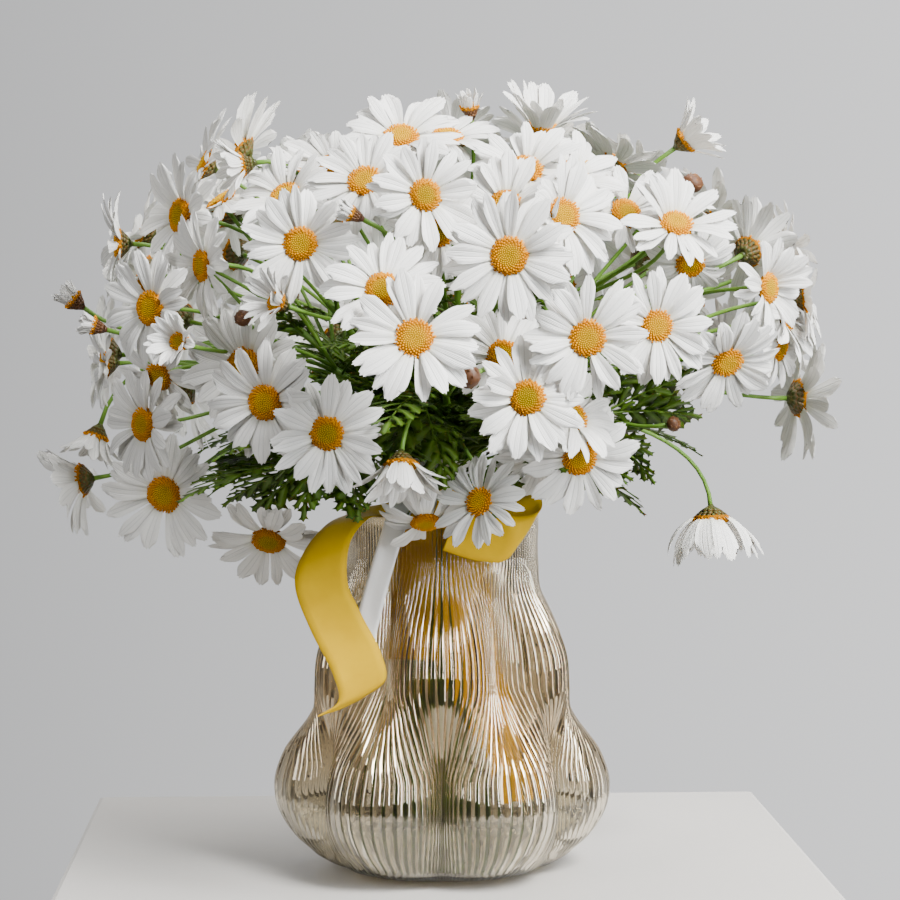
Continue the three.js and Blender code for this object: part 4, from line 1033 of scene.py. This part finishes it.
class Nodes:
    """A material's nodes, with short names for the ones used here."""

    def __init__(self, name):
        self.material = bpy.data.materials.new(name)
        self.material.use_nodes = True
        self.tree = self.material.node_tree
        self.shader = self.tree.nodes["Principled BSDF"]

    def put(self, socket, value):
        """A link from another node, or a constant; colours are given as three numbers."""
        if isinstance(value, bpy.types.NodeSocket):
            self.tree.links.new(value, socket)
        else:
            socket.default_value = (*value, 1) if socket.type == "RGBA" else value

    def new(self, kind, **sockets):
        node = self.tree.nodes.new(kind)
        for name, value in sockets.items():
            self.put(node.inputs[name], value)
        return node

    def set(self, **sockets):
        for name, value in sockets.items():
            self.put(self.shader.inputs[name.replace("_", " ")], value)

    def value(self, name):
        node = self.tree.nodes.new("ShaderNodeAttribute")
        node.attribute_name = name
        return node.outputs["Fac"]

    def noise(self, scale, detail):
        node = self.new("ShaderNodeTexNoise", Scale=scale, Detail=detail)
        self.put(node.inputs["Vector"], self.tree.nodes.new("ShaderNodeTexCoord").outputs["Object"])
        return node.outputs["Fac"]

    def ramp(self, fac, *stops):
        node = self.new("ShaderNodeValToRGB", Fac=fac)
        while len(node.color_ramp.elements) < len(stops):
            node.color_ramp.elements.new(0.5)
        for element, (place, colour) in zip(node.color_ramp.elements, stops):
            element.position = place
            element.color = (*colour, 1)
        return node.outputs["Color"]

    def mix(self, fac, a, b, way="MIX"):
        node = self.tree.nodes.new("ShaderNodeMix")
        node.data_type = "RGBA"
        node.blend_type = way
        for index, value in ((0, fac), (6, a), (7, b)):  # its sockets for colours
            self.put(node.inputs[index], value)
        return node.outputs[2]

    def math(self, operation, *values):
        node = self.tree.nodes.new("ShaderNodeMath")
        node.operation = operation
        for socket, value in zip(node.inputs, values):
            self.put(socket, value)
        return node.outputs[0]

    def times(self, a, b):
        return self.math("MULTIPLY", a, b)

    def line(self, a, slope, base):
        return self.math("MULTIPLY_ADD", a, slope, base)

    def bump(self, height, distance, strength):
        """A relief in the surface, distance in millimetres."""
        node = self.new("ShaderNodeBump", Height=height, Distance=distance * MM, Strength=strength)
        self.set(Normal=node.outputs["Normal"])


GROOVE_AT = 0.26  # share of a petal's half width
GROOVE_HALF = 0.09


def grey(v):
    return (v, v, v)


def petal_material():
    """White, warmer and greener at the root and darkened there with painted shade next to the disc, with
    painted shade in two grooves and fine veins along the blade.
    """
    n = Nodes("daisy_petal")
    along, across, tone = n.value("along"), n.value("across"), n.value("tone")
    blotch = n.noise(110, 3)
    white = n.mix(n.times(blotch, 0.6), (0.92, 0.905, 0.862), (0.76, 0.745, 0.70))
    white = n.mix(n.times(tone, 0.35), white, (0.71, 0.70, 0.67))
    # The root: partly its own greener tint, partly painted shade, darker where the petals meet the disc.
    root = n.ramp(along, (0.0, grey(1)), (0.3, grey(0)))
    colour = n.mix(n.times(root, 0.6), white, (0.62, 0.64, 0.42))
    veins = n.math("SINE", n.line(across, 46.0, n.times(blotch, 3.0)))
    lines = n.line(veins, 0.5, 0.5)
    colour = n.mix(n.times(lines, 0.16), colour, (0.60, 0.595, 0.57))
    beside = n.math("ABSOLUTE", n.math("SUBTRACT", n.math("ABSOLUTE", across), GROOVE_AT))
    groove_and_painted_shade = n.ramp(beside, (0.0, grey(1)), (GROOVE_HALF, grey(0)))
    fade = n.ramp(along, (0.1, grey(0.2)), (0.35, grey(1)), (0.8, grey(1)), (1.0, grey(0.4)))
    groove_and_painted_shade = n.times(groove_and_painted_shade, fade)
    # Painted shade: the two grooves darkened to grey, faded near the root and the tip; the same mask deepens
    # the bump.
    colour = n.mix(n.times(groove_and_painted_shade, 0.45), colour, (0.45, 0.445, 0.42))
    n.set(Base_Color=colour, Roughness=n.line(blotch, 0.2, 0.4), Subsurface_Weight=0.07,
          Subsurface_Scale=0.002, Specular_IOR_Level=0.35, Sheen_Weight=0.08, Sheen_Roughness=0.5,
          Subsurface_Radius=(1.0, 0.9, 0.75))
    relief = n.line(n.noise(700, 2), 0.4, lines)
    relief = n.math("SUBTRACT", relief, n.times(groove_and_painted_shade, 2.0))
    n.bump(relief, 0.16, 0.6)
    return n.material


def disc_material():
    """Florets from olive and yellow in the middle to orange at the edge, browner in a ripe disc, with painted
    shade at their feet.
    """
    n = Nodes("daisy_disc")
    out, ripe, tone, height = (n.value(v) for v in ("out", "ripe", "tone", "height"))
    grain = n.noise(1500, 2)
    fresh = n.ramp(out, (0.0, (0.80, 0.46, 0.0)), (0.5, (0.88, 0.47, 0.0)), (0.66, (0.82, 0.34, 0.0)),
                   (1.0, (0.80, 0.27, 0.0)))
    old = n.ramp(out, (0.0, (0.31, 0.245, 0.0)), (0.5, (0.42, 0.29, 0.0)), (0.64, (0.62, 0.25, 0.0)),
                 (1.0, (0.60, 0.19, 0.0)))
    colour = n.mix(ripe, fresh, old)
    colour = n.mix(n.times(tone, 0.2), colour, (0.9, 0.5, 0.0))
    shade = n.ramp(n.line(height, 0.6, 0.4), (0.0, grey(0)), (1.0, grey(1)))  # painted shade: darker at a floret's foot and on the bare dome
    colour = n.mix(1.0, colour, shade, "MULTIPLY")
    n.set(Base_Color=colour, Roughness=n.line(grain, 0.3, 0.5), Specular_IOR_Level=0.12,
          Specular_Tint=(1.0, 0.62, 0.1))
    n.bump(grain, 0.15, 0.6)
    return n.material


def green_material():
    """Green stalks and stems, olive scales with brown papery margins, and reddish brown buds."""
    n = Nodes("daisy_green")
    margin, kind = n.value("margin"), n.value("kind")
    patch, grain = n.noise(60, 4), n.noise(900, 2)
    stalk = n.mix(patch, (0.060, 0.150, 0.012), (0.150, 0.285, 0.030))
    scale = n.mix(patch, (0.022, 0.032, 0.004), (0.070, 0.085, 0.010))
    bud = n.mix(patch, (0.042, 0.017, 0.006), (0.130, 0.050, 0.018))
    colour = n.mix(n.ramp(kind, (0.1, grey(0)), (0.4, grey(1))), stalk, scale)
    colour = n.mix(n.ramp(kind, (0.6, grey(0)), (0.9, grey(1))), colour, bud)
    paper = n.mix(patch, (0.10, 0.034, 0.006), (0.24, 0.095, 0.018))
    colour = n.mix(n.times(n.math("POWER", margin, 2.2), 0.85), colour, paper)
    n.set(Base_Color=colour, Roughness=n.line(grain, 0.25, 0.38), Specular_IOR_Level=0.35,
          Subsurface_Weight=0.06, Subsurface_Scale=0.0015)
    n.bump(n.line(grain, 0.6, n.times(patch, 0.4)), 0.2, 0.5)
    return n.material


def leaf_material():
    """Deep green, with lighter ribs, a waxy gloss and uneven patches."""
    n = Nodes("daisy_leaf")
    tone, margin = n.value("tone"), n.value("margin")
    patch, grain = n.noise(45, 4), n.noise(800, 3)
    colour = n.mix(patch, (0.012, 0.034, 0.001), (0.046, 0.105, 0.004))
    colour = n.mix(n.times(tone, 0.45), colour, (0.100, 0.205, 0.006))
    rib = n.math("SUBTRACT", 1.0, margin)
    colour = n.mix(n.times(rib, 0.25), colour, (0.15, 0.25, 0.03))
    n.set(Base_Color=colour, Roughness=n.line(grain, 0.25, 0.36), Specular_IOR_Level=0.22,
          Subsurface_Weight=0.06, Subsurface_Scale=0.0015)
    n.bump(n.line(grain, 0.5, n.times(patch, 0.5)), 0.3, 0.5)
    return n.material


def glass_material():
    """Clear glass under a thin champagne and silver lustre that mirrors part of the light."""
    n = Nodes("lustre_glass")
    cloud = n.noise(14, 3)
    streak = n.noise(7, 2)
    tint = n.mix(cloud, (0.70, 0.53, 0.31), (0.86, 0.72, 0.50))
    tint = n.mix(n.value("lustre"), (0.90, 0.84, 0.70), tint)
    lustre = n.times(n.ramp(streak, (0.32, grey(0.16)), (0.68, grey(0.42))), n.value("lustre"))
    n.set(Base_Color=tint, Metallic=lustre, Roughness=n.line(cloud, 0.02, 0.0),
          Transmission_Weight=1.0, IOR=1.45)
    n.bump(n.noise(60, 2), 0.02, 0.3)
    return n.material


def water_material():
    n = Nodes("vase_water")
    cloud = n.noise(20, 2)
    n.set(Base_Color=n.mix(cloud, (0.78, 0.76, 0.66), (0.84, 0.83, 0.74)), Roughness=0.0,
          Transmission_Weight=1.0, IOR=1.333)
    n.bump(n.noise(45, 2), 0.15, 0.3)
    return n.material


SELVAGE_FROM = 0.465  # share of the band's width, from its middle


def satin_material(name, light, dark, gloss):
    """Satin: close threads across the band, a softly varying gloss, and a woven edge."""
    n = Nodes(name)
    along, across = n.value("along"), n.value("across")
    threads = n.math("SINE", n.times(along, 14.0))
    warp = n.math("SINE", n.times(across, 260.0))
    cloth = n.line(threads, 0.3, n.times(warp, 0.2))
    cloud = n.noise(80, 3)
    colour = n.mix(cloud, dark, light)
    colour = n.mix(n.line(cloth, 0.12, 0.08), colour, dark)
    edge = n.math("GREATER_THAN", n.math("ABSOLUTE", across), SELVAGE_FROM)
    colour = n.mix(n.times(edge, 0.5), colour, dark)
    n.set(Base_Color=colour, Roughness=n.line(cloud, 0.12, 0.3), Anisotropic=0.4,
          Specular_IOR_Level=0.15, Specular_Tint=gloss)
    n.bump(cloth, 0.08, 0.5)
    return n.material


def plinth_material():
    n = Nodes("painted_plinth")
    cloud, grain = n.noise(3, 3), n.noise(160, 4)
    n.set(Base_Color=n.mix(cloud, (0.56, 0.532, 0.492), (0.60, 0.578, 0.542)),
          Roughness=n.line(grain, 0.12, 0.36), Specular_IOR_Level=0.4)
    n.bump(grain, 0.03, 0.4)
    return n.material


# ---- stage ----


def plinth():
    """The pale top that the vase stands on, a block with slightly rounded edges."""
    half = PLINTH["width"] / 2
    turn = math.radians(PLINTH["turn"])
    c, s = math.cos(turn), math.sin(turn)
    near, far, bevel = PLINTH["near"], PLINTH["far"], PLINTH["round"]
    rings = []
    for inset, z in ((0, -PLINTH["deep"]), (0, -bevel), (0.3 * bevel, -0.3 * bevel), (bevel, 0)):
        left, right, front, back = -half + inset, half - inset, near + inset, far - inset
        for x, y in ((left, front), (right, front), (right, back), (left, back)):
            rings.append([x * c - y * s, x * s + y * c, z])
    points = np.array(rings) * MM
    faces = [*ring_faces(4, 4).tolist(), [12, 13, 14, 15], [3, 2, 1, 0]]
    mesh = bpy.data.meshes.new("plinth")
    mesh.from_pydata(points.tolist(), [], faces)
    mesh.materials.append(plinth_material())
    made = link(bpy.data.objects.new("plinth", mesh))


# Name, place, size, power and colour of each lamp, in metres and watts.
LAMPS = [
    ("key", (0.86, -1.02, 1.5), (0.6, 0.8), 98, (1, 1, 1)),
    ("fill", (-1.2, -1.2, 0.8), (0.4, 1.4), 14, (1, 1, 1)),
    ("strip_right", (1.1, -0.35, 0.35), (0.16, 1.2), 8, (1, 1, 1)),
    ("strip_front", (1.1, -1.45, 0.75), (0.2, 1.3), 36, (0.92, 0.96, 1.0)),
    ("top", (0.2, 0.4, 1.7), (1.2, 0.9), 30, (1, 1, 1)),
]
LAMPS_AIM = (0, 0, 0.2)


def softbox(name, at, size, power, colour):
    """A rectangular lamp that faces the bunch."""
    light = bpy.data.lights.new(name, "AREA")
    light.shape = "RECTANGLE"
    light.size, light.size_y = size
    light.energy, light.color = power, colour
    made = link(bpy.data.objects.new(name, light))
    made.location = at
    made.rotation_euler = (Vector(LAMPS_AIM) - Vector(at)).to_track_quat("-Z", "Y").to_euler()


def backdrop():
    """A world that is pale behind the bunch, brighter there towards the right, and dark all round."""
    world = bpy.data.worlds.new("studio")
    bpy.context.scene.world = world
    world.use_nodes = True
    nodes, links = world.node_tree.nodes, world.node_tree.links
    back = nodes["Background"]
    place = nodes.new("ShaderNodeTexCoord")
    split = nodes.new("ShaderNodeSeparateXYZ")
    ramp = nodes.new("ShaderNodeValToRGB")
    level = nodes.new("ShaderNodeMath")
    level.operation = "MULTIPLY_ADD"
    level.inputs[1].default_value = level.inputs[2].default_value = 0.5
    stops = ((0.72, (0.085, 0.085, 0.087, 1)), (0.93, (0.885, 0.888, 0.90, 1)))
    for element, (position, colour) in zip(ramp.color_ramp.elements, stops):
        element.position, element.color = position, colour
    sweep = nodes.new("ShaderNodeMapRange")
    for socket, value in zip(sweep.inputs[1:5], (-0.2, 0.2, 0.71, 1.29)):
        socket.default_value = value
    links.new(place.outputs["Generated"], split.inputs[0])
    links.new(split.outputs["X"], sweep.inputs[0])
    links.new(split.outputs["Y"], level.inputs[0])
    links.new(level.outputs[0], ramp.inputs[0])
    links.new(ramp.outputs[0], back.inputs["Color"])
    links.new(sweep.outputs[0], back.inputs["Strength"])


def camera():
    data = bpy.data.cameras.new("photo_view")
    data.lens = LENS
    data.clip_start, data.clip_end = 0.05, 50
    made = link(bpy.data.objects.new("photo_view", data))
    made.location = (EYE["x"] * MM, -EYE["distance"] * MM, EYE["height"] * MM)
    made.rotation_euler = (math.radians(90 - LOOK_DOWN), 0, 0)
    bpy.context.scene.camera = made


# ---- the whole bunch ----


# Where leaves sit on a flowering stem and on a leafy one, and about how long they are.
STEM_LEAVES = {"stations": (0.62, 0.69, 0.75, 0.81, 0.87, 0.92, 0.97), "length": 38}
LEAFY_LEAVES = {"stations": (0.6, 0.66, 0.72, 0.78, 0.83, 0.87, 0.93, 0.97), "length": 44}
LEAF_TURN = 137.5  # from one leaf to the next

# The pieces of a flowering stem, each with its slot and the values that its material reads.
SPRAY_PIECES = {
    "petals": ("petals", "along", "across", "tone"),
    "discs": ("discs", "out", "ripe", "tone", "height"),
    "greens": ("calyx", "margin", "kind"),
    "leaves": ("leaves", "margin", "tone"),
}


def stem_leaves(pile, path, seed, stations, length):
    """Leaves in a spiral up a stem."""
    for k, t in enumerate(stations):
        at, out, heading = place_on(path, t, 0.01)
        heading += LEAF_TURN * k + 60 * spread(seed + k, 50)
        way = unit(facing(heading, 12 + 30 * spread(seed + k, 51)) + 0.8 * unit(out))
        size = length * (1 + 0.3 * spread(seed + k, 52))
        add_leaf(pile, at, way, size, size * 0.62, 0.5 + 0.4 * spread(seed + k, 53), seed * 5 + k,
                 0.8 * spread(seed + k, 54))


def spray(name, heads, materials, seed):
    """One flowering stem: its petals, discs, green parts and leaves, four pieces that stand for one node."""
    corners = corners_of(name)
    path = stem_path(corners, fork_of(heads), STEM_CORNER)
    piles = {part: Pile(*values) for part, (_, *values) in SPRAY_PIECES.items()}
    greens = piles["greens"]
    add_stem(greens, path)
    for k, head in enumerate(heads):
        number = seed * 10 + k
        add_stalk(greens, stalk_path(corners, catmull(path, FIRST_FORK - FORK_STEP * k), head))
        if head["kind"] == "bud":
            add_bud(greens, head)
            continue
        head["blades"] = blades_of(corners, head)
        add_petals(piles["petals"], head, number)
        add_disc(piles["discs"], head, number)
        add_calyx(greens, head, number)
    stem_leaves(piles["leaves"], path, seed, **STEM_LEAVES)
    for part, (slot, *_) in SPRAY_PIECES.items():
        piles[part].piece(f"{name}_{part}", materials[part], slot, name)


def leafy(name, tip, materials, seed):
    """One leafy stem: the construction's leaves, the fronds below the heads, and a spiral of smaller ones."""
    corners = corners_of(name)
    path = stem_path(corners, np.array(tip, float), LEAFY_CORNER)
    pile = Pile("margin", "tone")
    thick = LEAFY_RADIUS * lerp(1.1, 0.7, STEM_STATIONS)
    tube(pile, [catmull(path, t) for t in STEM_STATIONS], thick, THIN_SIDES, margin=0.0, tone=0.6)
    for k, (at, way, size) in enumerate(cad_leaves(corners, path)):
        add_leaf(pile, at - way, way, LEAF["length"] * size, LEAF["width"] * size, 0.42, seed + k)
    for k, (stem, t, turn, lift, length, width, droop, roll) in enumerate(FRONDS):
        if LEAFY[stem] == tip:
            way = facing(turn, lift)
            add_leaf(pile, catmull(path, t), way, length, width, droop, seed + 31 * k, roll, FROND_BROAD)
    stem_leaves(pile, path, seed + 9, **LEAFY_LEAVES)
    pile.piece(f"{name}_foliage", materials["leaves"], "leaves", name)


def main():
    camera()
    plinth()
    backdrop()
    for lamp in LAMPS:
        softbox(*lamp)
    materials = {
        "petals": petal_material(),
        "discs": disc_material(),
        "greens": green_material(),
        "leaves": leaf_material(),
    }
    vase_piece(glass_material())
    water_piece(water_material())
    yellow = satin_material("yellow_satin", (0.76, 0.475, 0.0), (0.58, 0.335, 0.0), (1.0, 0.75, 0.15))
    white = satin_material("white_satin", (0.96, 0.95, 0.93), (0.84, 0.83, 0.80), (1.0, 1.0, 1.0))
    ribbon_piece("yellow_ribbon_satin", "yellow_ribbon", YELLOW_TAILS, 25, TIE_Z, 16, yellow, "yellow_satin")
    ribbon_piece("white_ribbon_satin", "white_ribbon", WHITE_TAILS, 12, WHITE_TIE_Z, 7, white, "white_satin")
    behind = back_heads()
    bunches = [[from_front(row) for row in rows] for rows in SPRAYS]
    step = BACK["on_a_stem"]
    bunches += [behind[k:k + step] for k in range(0, len(behind), step)]
    for i, heads in enumerate(bunches):
        spray(f"flower_stem_{i + 1:02d}", heads, materials, i)
    for i, tip in enumerate(LEAFY):
        leafy(f"leafy_stem_{i + 1:02d}", tip, materials, 100 + 10 * i)


main()
